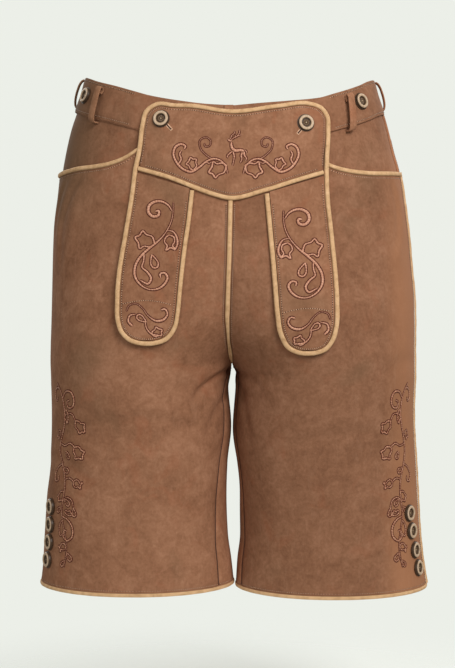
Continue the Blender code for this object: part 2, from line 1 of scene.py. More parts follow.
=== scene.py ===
"""Looks of knee-length folk shorts with a drop-front flap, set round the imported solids.

X points to the wearer's left, -Y to the front and +Z up. Lengths are metres.
The sections follow the making: the studio, the cloth of the legs, pockets and
waistband, the flap, the bindings, the loops and buttons, and last the needlework.
"""

import math

import bmesh
import bpy
import numpy as np
from mathutils import Matrix, Vector


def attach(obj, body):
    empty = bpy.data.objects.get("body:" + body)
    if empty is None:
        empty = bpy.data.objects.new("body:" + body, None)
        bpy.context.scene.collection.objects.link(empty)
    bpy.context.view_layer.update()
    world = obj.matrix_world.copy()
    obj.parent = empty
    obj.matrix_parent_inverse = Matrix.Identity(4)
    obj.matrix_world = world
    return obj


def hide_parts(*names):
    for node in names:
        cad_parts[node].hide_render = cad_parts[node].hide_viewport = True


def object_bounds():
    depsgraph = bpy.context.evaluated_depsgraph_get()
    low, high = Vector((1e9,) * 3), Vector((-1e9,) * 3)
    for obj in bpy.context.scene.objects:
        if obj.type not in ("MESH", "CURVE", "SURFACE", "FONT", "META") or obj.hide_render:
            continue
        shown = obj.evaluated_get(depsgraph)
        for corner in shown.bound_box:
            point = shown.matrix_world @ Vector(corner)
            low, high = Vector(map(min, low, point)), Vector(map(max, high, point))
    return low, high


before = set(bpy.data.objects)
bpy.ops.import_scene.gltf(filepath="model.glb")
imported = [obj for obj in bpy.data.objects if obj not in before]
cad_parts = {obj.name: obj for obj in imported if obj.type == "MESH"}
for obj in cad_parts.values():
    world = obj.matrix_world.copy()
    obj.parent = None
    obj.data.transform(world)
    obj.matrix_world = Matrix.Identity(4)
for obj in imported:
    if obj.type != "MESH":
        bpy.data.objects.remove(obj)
cad_low, cad_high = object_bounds()


# The studio is a pale floor that fades into a pale room, with a broad soft lamp
# high on the viewer's right, a weaker one on the left and two behind. The camera
# stands a little below the waist and looks slightly down.
CAMERA_PLACE = (-0.005, -1.800, -0.240)
CAMERA_PITCH = 1.49
FOCAL_PIXELS = 1607.0
PHOTO_HEIGHT = 668
SENSOR = 36.0
ROOM = (0.839, 0.863, 0.807)
ROOM_LIGHT = 0.36
FLOOR_DROP = 0.150
FLOOR_RADIUS = 3.2
FLOOR_FADE = 0.6
FLOOR_PAINT = (0.93, 0.95, 0.90)
AIM = (0.0, 0.0, -0.27)
# Lamps: place, width, power in watts
LAMPS = (
    ((0.98, -1.90, 0.95), 1.1, 43.0),
    ((-1.20, -2.05, 0.25), 1.6, 8.0),
    ((1.30, 1.90, 0.90), 1.4, 24.0),
    ((-1.20, 2.00, 0.80), 1.4, 22.0),
)


class Wire:
    """An output of a shader node. Sums on wires add Math nodes to its tree."""

    def __init__(self, socket):
        self.socket = socket

    def node(self, kind, settings=None, sockets=None, output=0):
        """Adds a node: its type, then its settings, then its sockets' values or links."""
        tree = self.socket.id_data
        made = tree.nodes.new("ShaderNode" + kind)
        for name, value in (settings or {}).items():
            if name == "stops":
                while len(made.color_ramp.elements) < len(value):
                    made.color_ramp.elements.new(1.0)
                for stop, (place, colour) in zip(made.color_ramp.elements, value):
                    stop.position, stop.color = place, (*colour, 1.0)
            else:
                setattr(made, name, value)
        for name, value in (sockets or {}).items():
            if isinstance(value, Wire):
                tree.links.new(value.socket, made.inputs[name])
            else:
                made.inputs[name].default_value = value
        return Wire(made.outputs[output])

    def math(self, operation, first, second=0.0):
        return self.node("Math", {"operation": operation}, {0: first, 1: second})

    def __add__(self, other):
        return self.math("ADD", self, other)

    def __radd__(self, other):
        return self.math("ADD", other, self)

    def __sub__(self, other):
        return self.math("SUBTRACT", self, other)

    def __rsub__(self, other):
        return self.math("SUBTRACT", other, self)

    def __mul__(self, other):
        return self.math("MULTIPLY", self, other)

    def __rmul__(self, other):
        return self.math("MULTIPLY", other, self)

    def noise(self, scale, detail=2.0, roughness=0.5, distortion=0.0):
        """Noise that reads this wire as its place; scale is in cells to a metre."""
        return self.node("TexNoise", None, {"Vector": self, "Scale": scale, "Detail": detail,
                                            "Roughness": roughness, "Distortion": distortion})

    def step(self, low, high):
        """0 below low and 1 above high, with a soft step between them."""
        return self.node("MapRange", {"interpolation_type": "SMOOTHSTEP"},
                         {"Value": self, "From Min": low, "From Max": high})

    def ramp(self, *stops):
        """A colour read from stops of a place and a colour."""
        return self.node("ValToRGB", {"stops": stops}, {0: self})

    def tint(self, colour, amount):
        """This colour mixed with another one."""
        other = colour if isinstance(colour, Wire) else (*colour, 1.0)
        return self.node("Mix", {"data_type": "RGBA"}, {0: amount, 6: self, 7: other}, 2)

    def split(self):
        """The X of this place; the same node's other outputs are Y and Z."""
        return self.node("SeparateXYZ", None, {0: self})

    def other(self, name):
        """Another output of this wire's node."""
        return Wire(self.socket.node.outputs[name])

    def bump(self, strength, distance, shader):
        """Dents a shader's surface by this height."""
        self.node("Bump", None, {"Strength": strength, "Distance": distance,
                                 "Height": self}).into(shader, "Normal")

    def into(self, node, name):
        """Links this wire to a socket of a node."""
        self.socket.id_data.links.new(self.socket, node.inputs[name])


def start_material(name, roughness, **fixed):
    """A Principled material, its shader, and a wire with the piece's own coordinates."""
    made = bpy.data.materials.new(name)
    made.use_nodes = True
    shader = made.node_tree.nodes["Principled BSDF"]
    shader.inputs["Roughness"].default_value = roughness
    for socket, value in fixed.items():
        shader.inputs[socket.replace("_", " ")].default_value = value
    place = Wire(made.node_tree.nodes.new("ShaderNodeTexCoord").outputs["Object"])
    return made, shader, place


def set_camera():
    """The camera at the photograph's viewing angle."""
    lens = bpy.data.cameras.new("camera")
    lens.sensor_width = SENSOR
    lens.lens = SENSOR * FOCAL_PIXELS / PHOTO_HEIGHT
    camera = bpy.data.objects.new("camera", lens)
    camera.location = CAMERA_PLACE
    camera.rotation_euler = (math.radians(90.0 - CAMERA_PITCH), 0.0, 0.0)
    bpy.context.scene.collection.objects.link(camera)
    bpy.context.scene.camera = camera


def set_lamps():
    """The soft lamps, each turned towards the middle of the shorts."""
    for place, width, power in LAMPS:
        lamp = bpy.data.lights.new("lamp", "AREA")
        lamp.size, lamp.energy = width, power
        stand = bpy.data.objects.new("lamp", lamp)
        stand.location = place
        stand.rotation_euler = (Vector(AIM) - Vector(place)).to_track_quat("-Z", "Y").to_euler()
        bpy.context.scene.collection.objects.link(stand)


def set_room():
    """The pale room: what the camera sees of it is brighter than the light it gives."""
    room = bpy.data.worlds.new("room")
    room.use_nodes = True
    bpy.context.scene.world = room
    back = room.node_tree.nodes["Background"]
    back.inputs["Color"].default_value = (*ROOM, 1.0)
    seen = Wire(room.node_tree.nodes.new("ShaderNodeLightPath").outputs["Is Camera Ray"])
    (seen * (1.0 - ROOM_LIGHT) + ROOM_LIGHT).into(back, "Strength")


def set_floor():
    """The floor, which fades out towards its rim."""
    disc = bmesh.new()
    bmesh.ops.create_circle(disc, cap_ends=True, radius=FLOOR_RADIUS, segments=96)
    bmesh.ops.translate(disc, verts=disc.verts, vec=(0.0, 0.0, cad_low.z - FLOOR_DROP))
    mesh = bpy.data.meshes.new("floor")
    disc.to_mesh(mesh)
    disc.free()
    floor = bpy.data.objects.new("floor", mesh)
    bpy.context.scene.collection.objects.link(floor)
    made, shader, place = start_material("floor_paint", 0.9, Base_Color=(*FLOOR_PAINT, 1.0))
    middle = place.node("VectorMath", {"operation": "MULTIPLY"}, {0: place, 1: (1.0, 1.0, 0.0)})
    away = middle.node("VectorMath", {"operation": "LENGTH"}, {0: middle}, "Value")
    clear = away.node("BsdfTransparent")
    faded = clear.node("MixShader", None, {0: away.step(0.0, FLOOR_FADE),
                                           1: Wire(shader.outputs[0]), 2: clear})
    faded.into(made.node_tree.nodes["Material Output"], "Surface")
    mesh.materials.append(made)


bpy.context.scene.view_settings.view_transform = "Standard"
set_camera()
set_lamps()
set_room()
set_floor()


# The skin is the outer face of the worn shorts, which every piece of cloth lies on.
# Each half is a stack of rounded sections round one leg, cut at the middle above the
# crotch. A place on it is a side, a turn in degrees (0 inner leg, 90 front, 180 outer
# side, 270 behind) and a drop below the waist's sides, as in the solids.
RIGHT, LEFT = -1, 1
SIDES = {RIGHT: "right", LEFT: "left"}
CROTCH = 0.322
HEM = {RIGHT: 0.5655, LEFT: 0.5685}
SQUARENESS = 2.15
SPLIT_START = 0.185
SPLIT_POWERS = (1.5, 1.35)
SEAM = 0.0003
# Drop, outer side right and left, front and back depth
SECTIONS = (
    (-0.010, 0.1606, 0.1552, 0.1010, 0.1000),
    (0.000, 0.1626, 0.1572, 0.1030, 0.1030),
    (0.020, 0.1678, 0.1621, 0.1050, 0.1070),
    (0.038, 0.1741, 0.1681, 0.1070, 0.1110),
    (0.060, 0.1815, 0.1744, 0.1110, 0.1160),
    (0.085, 0.1873, 0.1805, 0.1145, 0.1210),
    (0.105, 0.1909, 0.1862, 0.1165, 0.1260),
    (0.140, 0.1949, 0.1920, 0.1190, 0.1340),
    (0.175, 0.1988, 0.1961, 0.1210, 0.1400),
    (0.210, 0.2002, 0.1994, 0.1220, 0.1440),
    (0.245, 0.2007, 0.2027, 0.1210, 0.1460),
    (0.280, 0.2012, 0.2040, 0.1190, 0.1440),
    (0.305, 0.2016, 0.2031, 0.1160, 0.1390),
    (0.322, 0.2019, 0.2028, 0.1130, 0.1340),
    (0.330, 0.2019, 0.2028, 0.1117, 0.1315),
    (0.345, 0.2021, 0.2028, 0.1090, 0.1270),
    (0.390, 0.2017, 0.2031, 0.1000, 0.1120),
    (0.430, 0.2025, 0.2051, 0.0935, 0.1000),
    (0.470, 0.2072, 0.2069, 0.0880, 0.0900),
    (0.510, 0.2100, 0.2104, 0.0830, 0.0830),
    (0.540, 0.2115, 0.2136, 0.0800, 0.0800),
    (0.566, 0.2142, 0.2178, 0.0780, 0.0780),
    (0.580, 0.2152, 0.2193, 0.0775, 0.0775),
)
# Drop, inner side right and left; further up the halves meet
INNER_SIDES = (
    (0.305, SEAM / 2, SEAM / 2), (0.322, SEAM / 2, SEAM / 2), (0.330, 0.0015, 0.0045),
    (0.345, 0.0040, 0.0035), (0.390, 0.0012, 0.0016), (0.430, 0.0050, 0.0055),
    (0.470, 0.0060, 0.0085), (0.510, 0.0045, 0.0092), (0.540, 0.0005, 0.0060),
    (0.566, -0.0020, 0.0045), (0.580, -0.0025, 0.0042),
)
# The seam down the front sways to the wearer's right on its way to the crotch:
# drop, shift, within this half reach
SWAY = ((0.100, 0.0000), (0.140, -0.0018), (0.200, -0.0031), (0.245, -0.0047),
        (0.268, -0.0054), (0.290, -0.0042), (0.307, -0.0020), (0.322, 0.0000))
SWAY_REACH = 0.045
# The legs hang lower in front: from this drop on, by this much at the hem
SAG_START = 0.400
SAG = 0.0030
# Broad folds: side, turn, drop, half reach across in degrees, half reach down, lean
# in degrees to a metre of drop, height (below 0 is a trough)
FOLDS = (
    (RIGHT, 34.0, 0.340, 26.0, 0.010, 0.0, -0.0024),
    (LEFT, 24.0, 0.352, 18.0, 0.014, 0.0, -0.0020),
    (RIGHT, 150.0, 0.165, 5.0, 0.050, 60.0, 0.0020),
    (LEFT, 152.0, 0.195, 6.0, 0.050, -40.0, 0.0016),
    (RIGHT, 110.0, 0.392, 34.0, 0.014, 0.0, -0.0018),
    (LEFT, 125.0, 0.415, 30.0, 0.016, 0.0, -0.0016),
    (RIGHT, 318.0, 0.350, 26.0, 0.013, 0.0, -0.0030),
    (LEFT, 322.0, 0.346, 24.0, 0.013, 0.0, -0.0028),
    (RIGHT, 285.0, 0.400, 30.0, 0.016, 0.0, -0.0022),
    (LEFT, 280.0, 0.408, 32.0, 0.018, 0.0, -0.0020),
    (RIGHT, 232.0, 0.200, 7.0, 0.055, 30.0, 0.0018),
    (LEFT, 228.0, 0.190, 7.0, 0.055, -30.0, 0.0018),
)
# Creases: side, turn and drop of one end, turn and drop of the other, half width,
# height of the trough, and of the ridge above or behind it
METRES_PER_DEGREE = 0.0017
CREASES = (
    (RIGHT, 4.0, 0.326, 52.0, 0.352, 0.0042, -0.0036, 0.0016),
    (RIGHT, 10.0, 0.352, 40.0, 0.384, 0.0060, -0.0020, 0.0010),
    (LEFT, 4.0, 0.328, 40.0, 0.338, 0.0045, -0.0022, 0.0010),
    (LEFT, 12.0, 0.340, 34.0, 0.392, 0.0065, -0.0022, 0.0008),
    (RIGHT, 148.0, 0.120, 157.0, 0.205, 0.0038, -0.0016, 0.0010),
    (RIGHT, 161.0, 0.125, 166.0, 0.175, 0.0034, -0.0012, 0.0008),
    (LEFT, 155.0, 0.125, 148.0, 0.200, 0.0042, -0.0012, 0.0008),
    (RIGHT, 60.0, 0.382, 128.0, 0.391, 0.0060, -0.0010, 0.0006),
    (LEFT, 70.0, 0.404, 140.0, 0.398, 0.0070, -0.0010, 0.0006),
    (RIGHT, 120.0, 0.440, 166.0, 0.425, 0.0060, -0.0009, 0.0006),
    (LEFT, 120.0, 0.330, 160.0, 0.316, 0.0070, -0.0009, 0.0006),
    (RIGHT, 352.0, 0.330, 312.0, 0.356, 0.0046, -0.0034, 0.0014),
    (LEFT, 353.0, 0.328, 316.0, 0.350, 0.0044, -0.0030, 0.0014),
    (RIGHT, 340.0, 0.356, 296.0, 0.398, 0.0062, -0.0018, 0.0010),
    (LEFT, 342.0, 0.352, 300.0, 0.386, 0.0060, -0.0018, 0.0010),
    (RIGHT, 216.0, 0.120, 206.0, 0.215, 0.0045, -0.0014, 0.0010),
    (LEFT, 214.0, 0.115, 222.0, 0.210, 0.0045, -0.0014, 0.0010),
    (RIGHT, 250.0, 0.415, 310.0, 0.404, 0.0070, -0.0012, 0.0008),
    (LEFT, 240.0, 0.400, 305.0, 0.412, 0.0070, -0.0012, 0.0008),
)
# Slow waves over the whole skin: waves round a half, waves to a metre of drop,
# phase, height
WAVES = ((3.0, 7.0, 0.4, 0.00045), (5.0, 4.0, 2.1, 0.00035), (2.0, 13.0, 4.0, 0.00030),
         (7.0, 9.0, 1.2, 0.00022))
WAVES_START = 0.125


def glide(first, last, start, end, t):
    """The smooth curve between two values, with a slope at each of them."""
    rise = last - first
    return first + t * (start + t * (3 * rise - 2 * start - end + t * (start + end - 2 * rise)))


def reader(rows):
    """Makes a function that reads a smooth curve through a table, column by column."""
    table = np.array(rows)
    places, values = table[:, 0], table[:, 1:]
    rises = np.diff(values, axis=0) / np.diff(places)[:, None]
    product, total = rises[:-1] * rises[1:], rises[:-1] + rises[1:]
    inner = np.where(product > 0.0, 2.0 * product / np.where(total == 0.0, 1.0, total), 0.0)
    slopes = np.vstack([rises[:1], inner, rises[-1:]])

    def read(where):
        where = np.asarray(where, float)
        i = np.clip(np.searchsorted(places, where) - 1, 0, len(places) - 2)
        span = (places[i + 1] - places[i])[..., None]
        t = (where - places[i])[..., None] / span
        found = glide(values[i], values[i + 1], slopes[i] * span, slopes[i + 1] * span, t)
        return np.moveaxis(found, -1, 0)
    return read


read_section, read_inner = reader(SECTIONS), reader(INNER_SIDES)


def section(side, drop):
    """A half's section at each drop: middle, half width, front and back depth."""
    right, left, front_depth, back_depth = read_section(drop)
    inner_right, inner_left = read_inner(drop)
    outer, inner = (right, inner_right) if side == RIGHT else (left, inner_left)
    share = np.clip((CROTCH - drop) / (CROTCH - SPLIT_START), 0.0, 1.0)
    near, far = SPLIT_POWERS
    inner = inner - (1.0 - (1.0 - share ** near) ** far) * outer
    return (outer + inner) / 2, (outer - inner) / 2, front_depth, back_depth


def powered(value, power):
    """A power that keeps the sign."""
    return np.copysign(np.abs(value) ** power, value)


def bell(value):
    """A smooth bump, 1 at 0 and almost 0 past 2."""
    return np.exp(-value * value)


def relief(side, turn, drop):
    """How far folds, creases and waves push the skin out at each place."""
    turn = turn % 360.0
    total = np.zeros(np.broadcast(turn, drop).shape)
    for fold_side, at, level, across, down, lean, height in FOLDS:
        if fold_side == side:
            aside = (turn - at - lean * (drop - level)) / across
            total += height * bell(aside) * bell((drop - level) / down)
    for crease_side, turn_1, drop_1, turn_2, drop_2, half, trough, ridge in CREASES:
        if crease_side == side:
            along = np.array(((turn_2 - turn_1) * METRES_PER_DEGREE, drop_2 - drop_1))
            length = np.linalg.norm(along)
            along /= length
            east, south = (turn - turn_1) * METRES_PER_DEGREE, drop - drop_1
            ahead = (east * along[0] + south * along[1]) / length
            beside = east * along[1] - south * along[0]
            bow = 0.10 * length * (1.0 - (2.0 * ahead - 1.0) ** 2)
            fade = bell(np.maximum(np.maximum(-ahead, ahead - 1.0), 0.0) * length / (2 * half))
            taper = 0.35 + 0.65 * bell(1.6 * (ahead - 0.35))
            dent = trough * bell((beside - bow) / half)
            swell = ridge * bell((beside - bow - 2.1 * half) / (1.5 * half))
            total += (dent + swell) * fade * taper
    grown = np.clip((drop - WAVES_START) / 0.10, 0.0, 1.0) * np.clip(
        (HEM[side] - 0.010 - drop) / 0.10, 0.0, 1.0)
    for around, down, phase, height in WAVES:
        total += height * grown * np.sin(np.radians(around * turn) + phase + side) * np.cos(
            2.0 * math.pi * down * drop + phase * 1.7 + side)
    return total


def sway(drop):
    """How far the front's middle is shifted at each level."""
    return np.interp(drop, *np.array(SWAY).T)


def bare_skin(side, turn, drop):
    """Points of the skin itself."""
    middle, half, front_depth, back_depth = section(side, drop)
    angle = np.radians(turn)
    depth = np.where(np.sin(angle) > 0.0, front_depth, back_depth)
    aside = -powered(np.cos(angle), 2.0 / SQUARENESS)
    ahead = powered(np.sin(angle), 2.0 / SQUARENESS)
    out_x, out_y = aside / half, -ahead / depth
    push = relief(side, turn, drop) / np.hypot(out_x, out_y)
    return np.stack([side * (middle + half * aside + out_x * push),
                     -depth * ahead + out_y * push, -drop + 0.0 * aside], axis=-1)


def normals(side, turn, drop):
    """Outward directions of the skin."""
    around = bare_skin(side, turn + 0.25, drop) - bare_skin(side, turn - 0.25, drop)
    down = bare_skin(side, turn, drop + 0.0005) - bare_skin(side, turn, drop - 0.0005)
    normal = np.cross(down, around) * side
    return normal / np.linalg.norm(normal, axis=-1, keepdims=True)


def skin(side, turn, drop, lift=0.0):
    """Points of the skin, lifted off it along its normals, with the front's sway."""
    turn, drop = np.broadcast_arrays(np.asarray(turn, float), np.asarray(drop, float))
    points = bare_skin(side, turn, drop) + normals(side, turn, drop) * np.asarray(lift)[..., None]
    ahead = np.sin(np.radians(turn))
    below = np.clip((drop - SAG_START) / (HEM[side] - SAG_START), 0.0, 1.0)
    points[..., 0] += (ahead > 0.0) * sway(drop) * bell(points[..., 0] / SWAY_REACH)
    points[..., 2] -= SAG * (np.maximum(ahead, 0.0) * below) ** 2
    return points


def turn_at(side, reach, drop):
    """The turns in front at which the skin is this far from the middle."""
    middle, half, _, _ = section(side, drop)
    cosine = powered((middle - reach) / half, SQUARENESS / 2.0)
    return np.degrees(np.arccos(np.clip(cosine, -1.0, 1.0)))


def front(x, drop, lift=0.0):
    """Points on the front, by x and drop."""
    x, drop, lift = np.broadcast_arrays(*(np.asarray(a, float) for a in (x, drop, lift)))
    found = np.empty(x.shape + (3,))
    for side in (RIGHT, LEFT):
        mine = (x < 0.0) == (side == RIGHT)
        if mine.any():
            turn = turn_at(side, np.abs(x[mine]), drop[mine])
            found[mine] = skin(side, turn, drop[mine], lift[mine])
    return found


def degrees_for(side, turn, drop, distance):
    """How many degrees of turn a distance along the skin takes."""
    turn, drop = np.broadcast_arrays(np.asarray(turn, float), np.asarray(drop, float))
    middle, half, front_depth, back_depth = section(side, drop)

    def place(at):
        angle = np.radians(at)
        depth = np.where(np.sin(angle) > 0.0, front_depth, back_depth)
        return np.stack([-half * powered(np.cos(angle), 2.0 / SQUARENESS),
                         -depth * powered(np.sin(angle), 2.0 / SQUARENESS)], axis=-1)
    return distance / np.linalg.norm(place(turn + 0.5) - place(turn - 0.5), axis=-1)


# The cloth is imitation suede: a mottled mid brown with a short nap. It is painted warmer
# and paler at the wearer's left side as painted light, and darker and olive at the right
# hip as painted shade. The waistband and the pocket facings are cut from a slightly
# darker piece of it.
SUEDE_DARK = (0.175, 0.070, 0.034)
SUEDE_MID = (0.305, 0.138, 0.073)
SUEDE_PALE = (0.440, 0.215, 0.124)
SUEDE_OLIVE_AND_SHADE = (0.185, 0.105, 0.055)
SUEDE_SCUFF = (0.520, 0.290, 0.180)
SUEDE_RUST = (0.330, 0.105, 0.048)
SUEDE_LIT_WARM = (0.475, 0.210, 0.104)
# Cells of each noise to a metre
CLOUDS, BLOTCHES, GRAIN, NAP = 20.0, 75.0, 330.0, 1400.0
PATCHES, RUST_MARKS, STREAKS = 11.0, 26.0, 150.0


def make_suede(name, shade, shift):
    """Suede of one cut; shift moves its pattern so that no two cuts match. shade scales its
    colours, which for some cuts paints light or shade on them.
    """
    made, shader, place = start_material(name, 0.85, Specular_IOR_Level=0.15)
    aside = place.split()
    # Masks for painted light: painted shade over the wearer's right hip, painted light along the
    # wearer's left side.
    right_hip_shade = (aside * -1.0).step(0.120, 0.185) * aside.other("Z").step(-0.200, -0.090)
    left_side_light = aside.step(0.155, 0.190)
    place = place.node("Mapping", None, {"Vector": place, "Location": shift})
    clouds = place.noise(CLOUDS, 3.0, 0.6, 0.6)
    blotches = place.noise(BLOTCHES, 4.0, 0.65, 0.8)
    grain = place.noise(GRAIN, 3.0, 0.6)
    nap = place.noise(NAP, 2.0, 0.7)
    tone = clouds * 0.32 + blotches * 0.34 + grain * 0.24 + nap * 0.10
    dark, mid, pale, olive_and_shade, scuff, rust, lit_warm = (
        tuple(shade * part for part in colour) for colour in (
            SUEDE_DARK, SUEDE_MID, SUEDE_PALE, SUEDE_OLIVE_AND_SHADE, SUEDE_SCUFF, SUEDE_RUST, SUEDE_LIT_WARM))
    colour = tone.ramp((0.30, dark), (0.50, mid), (0.68, pale))
    patches = place.noise(PATCHES, 2.0, 0.5, 0.4).step(0.56, 0.74)
    colour = colour.tint(olive_and_shade, patches * 0.40)
    marks = place.noise(RUST_MARKS, 3.0, 0.6, 0.9).step(0.54, 0.72)
    colour = colour.tint(rust, marks * 0.28)
    # Painted shade: olive and darker over the right hip. Painted light: warm and paler along the
    # left side.
    colour = colour.tint(olive_and_shade, right_hip_shade * 0.75)
    colour = colour.tint(lit_warm, left_side_light * 0.80)
    stretched = place.node("Mapping", None, {"Vector": place, "Rotation": (0.0, 0.5, 0.3),
                                             "Scale": (1.0, 1.0, 0.22)})
    streaks = stretched.noise(STREAKS, 4.0, 0.65, 1.2).step(0.52, 0.74)
    colour = colour.tint(scuff, streaks * 0.15)
    colour.into(shader, "Base Color")
    (0.80 + 0.14 * blotches).into(shader, "Roughness")
    (grain * 0.6 + nap * 0.4).bump(0.35, 0.0006, shader)
    return made


# Painted light and shade: the cuts are copies of one suede, and their shade factors make the left
# front darker and the backs paler.
suede_skins = {
    "front_right": make_suede("suede_front_right", 1.0, (0.0, 0.0, 0.0)),
    "front_left": make_suede("suede_front_left", 0.88, (0.7, 0.2, 0.1)),
    "back_right": make_suede("suede_back_right", 1.22, (0.3, 0.9, 0.4)),
    "back_left": make_suede("suede_back_left", 1.16, (1.1, 0.5, 0.8)),
}
flap_suede = make_suede("suede_flap", 1.02, (0.4, 0.6, 1.3))
band_suede = make_suede("suede_band", 0.92, (1.7, 0.3, 0.6))
# Painted light: the loops and the band's lapped end are a paler copy of the suede.
lit_loop_suede = make_suede("suede_loops_lit", 1.12, (0.2, 1.3, 0.9))


# The legs: two fronts and two backs of suede 2 mm thick, joined by the inner leg
# seams, the side seams under their piping, and the seams down the middle. Each is
# a hollow wall that draws in a little where it is stitched to its neighbour.
CLOTH = 0.0020
EDGE_WIDTH = 0.0047
HEM_EDGE = 0.0037
BAND_HEIGHT = 0.038
WAIST_EDGE = {
    RIGHT: ((90.0, 0.0436), (97.0, 0.0422), (108.0, 0.0376), (118.6, 0.0318), (127.0, 0.0257),
            (137.0, 0.0190), (150.7, 0.0118), (162.0, 0.0062), (171.0, 0.0032), (180.0, 0.0020)),
    LEFT: ((90.0, 0.0438), (98.0, 0.0412), (108.0, 0.0384), (121.4, 0.0340), (130.0, 0.0281),
           (139.5, 0.0219), (147.4, 0.0168), (158.8, 0.0098), (170.0, 0.0062), (180.0, 0.0050)),
}
BACK_DIP = 0.0230
DIP_POWER = 1.9
SIDE_SEAM = {RIGHT: 189.0, LEFT: 173.0}
INSEAM_AT_HEM = {RIGHT: 33.0, LEFT: 19.0}
INSEAM_BEND = 0.3
SEAM_DRAW = 0.0009
SEAM_REACH = 0.0040
# Painted shade in the inner leg seam's groove
GROOVE_SHADE = (0.085, 0.032, 0.018)
# Distance from the middle, drop
POCKET_MOUTH = {
    RIGHT: ((0.0730, 0.0700), (0.1005, 0.0872), (0.1120, 0.0948), (0.1197, 0.0982),
            (0.1338, 0.1021), (0.1480, 0.1037), (0.1630, 0.1046), (0.1780, 0.1064),
            (0.1950, 0.1095)),
    LEFT: ((0.0730, 0.0700), (0.0880, 0.0900), (0.1000, 0.1030), (0.1149, 0.1078),
           (0.1303, 0.1100), (0.1462, 0.1106), (0.1625, 0.1097), (0.1950, 0.1066)),
}
LEG_ROWS = 176
LEG_COLUMNS = {"front": 104, "back": 92}
# For every piece: how close points are joined, and from which angle an edge is sharp
WELD = 0.00001
SHARP_ANGLE = 40.0


read_waist = {side: reader(table) for side, table in WAIST_EDGE.items()}


def waist_line(side, turn):
    """The drop of the waist's top edge at each turn."""
    turn = np.asarray(turn) % 360.0
    ahead = read_waist[side](np.clip(np.maximum(turn, 180.0 - turn), 90.0, 180.0))[0]
    rise = BACK_DIP - WAIST_EDGE[side][-1][1]
    behind = WAIST_EDGE[side][-1][1] + rise * np.abs(np.sin(np.radians(turn))) ** DIP_POWER
    return np.where(turn <= 180.0, ahead, behind)


def band_foot(side, turn):
    """The drop at which the cloth below the waistband begins."""
    return waist_line(side, turn) + BAND_HEIGHT + SEAM


def inseam(side, drop):
    """The turn of the inner leg seam, which swings forward just below the crotch."""
    share = np.clip((drop - CROTCH) / (HEM[side] - CROTCH), 0.0, 1.0)
    return INSEAM_AT_HEM[side] * share ** INSEAM_BEND


def inner_turn(side, drop):
    """Where the front of a half begins: the middle, or the inner leg seam."""
    clear = degrees_for(side, 0.5, drop, SEAM / 2)
    above = np.maximum(turn_at(side, SEAM / 2, np.minimum(drop, CROTCH)), clear)
    below = inseam(side, drop) + clear
    return np.where(drop < CROTCH, above, below)


def back_turn(side, drop):
    """Where the back of a half ends, counted on round from its side seam."""
    clear = degrees_for(side, 0.5, drop, SEAM / 2)
    above = 360.0 - np.maximum(turn_at(side, SEAM / 2, np.minimum(drop, CROTCH)), clear)
    return np.where(drop < CROTCH, above, 360.0 + inner_turn(side, drop) - 2.0 * clear)


read_mouth = {side: reader(table) for side, table in POCKET_MOUTH.items()}


def mouth(side, turn):
    """The drop of a pocket's mouth at each turn."""
    middle, half, _, _ = section(side, np.full(np.shape(turn), 0.100))
    reach = middle - half * powered(np.cos(np.radians(turn)), 2.0 / SQUARENESS)
    drop = read_mouth[side](np.clip(reach, 0.073, 0.195))[0]
    return np.where(reach < POCKET_MOUTH[side][0][0], 0.0, drop)


def blend(start, end, share):
    """A value or point part of the way from start to end."""
    return start + (end - start) * share


def crowd(share, amount):
    """Spreads shares from 0 to 1 so that they lie closer together near both ends."""
    return share - amount * np.sin(2.0 * math.pi * share) / (2.0 * math.pi)


def show(name, cells, materials, node=None):
    """Turns a bmesh into a piece of the shorts, riding on the root body."""
    mesh = bpy.data.meshes.new(name)
    cells.to_mesh(mesh)
    cells.free()
    for material in materials:
        mesh.materials.append(material)
    mesh.shade_smooth()
    mesh.set_sharp_from_angle(angle=math.radians(SHARP_ANGLE))
    piece = bpy.data.objects.new(name, mesh)
    bpy.context.scene.collection.objects.link(piece)
    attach(piece, "root")
    if node:
        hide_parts(node)
    return piece


def wall(across, down, place, ring=False):
    """A closed wall of across by down cells. place(u, v, outer) sets out its points,
    on the outer face or on the inner one."""
    cells = bmesh.new()
    bmesh.ops.create_grid(cells, x_segments=across, y_segments=down, size=0.5)
    layer = cells.verts.layers.float_vector.new("place")
    shares = np.array([vert.co[:] for vert in cells.verts]) + 0.5
    for vert, share, at in zip(cells.verts, shares, place(shares[:, 0], shares[:, 1], True)):
        vert[layer] = share
        vert.co = at
    if ring:
        bmesh.ops.remove_doubles(cells, verts=cells.verts, dist=WELD)
    grown = bmesh.ops.extrude_face_region(cells, geom=cells.faces, use_keep_orig=True)
    inner = [vert for vert in grown["geom"] if isinstance(vert, bmesh.types.BMVert)]
    shares = np.array([vert[layer][:] for vert in inner])
    for vert, at in zip(inner, place(shares[:, 0], shares[:, 1], False)):
        vert.co = at
    bmesh.ops.recalc_face_normals(cells, faces=cells.faces)
    if cells.calc_volume(signed=True) < 0.0:
        bmesh.ops.reverse_faces(cells, faces=cells.faces)
    return cells


def flat_cut(place):
    """The width, length and area of the cloth that a place function sets out, laid flat."""
    u, v = np.meshgrid(np.linspace(0.0, 1.0, 60), np.linspace(0.0, 1.0, 60))
    points = place(u.ravel(), v.ravel(), True).reshape(60, 60, 3)
    across, down = np.diff(points, axis=1), np.diff(points, axis=0)
    width = np.linalg.norm(across, axis=2).sum(axis=1).max()
    length = np.linalg.norm(down, axis=2).sum(axis=0).max()
    cross = np.cross(across[:-1], down[:, :-1])
    return (float(width), float(length)), float(np.linalg.norm(cross, axis=2).sum())


sheets = []


def cut_sheet(piece, place, held, rests_on):
    """Notes a cut piece of cloth in the list of sheets, with a list for what is sewn on it."""
    sheets.append({"piece": piece, "place": place, "held": held, "rests_on": rests_on,
                   "sewn": []})
    return sheets[-1]


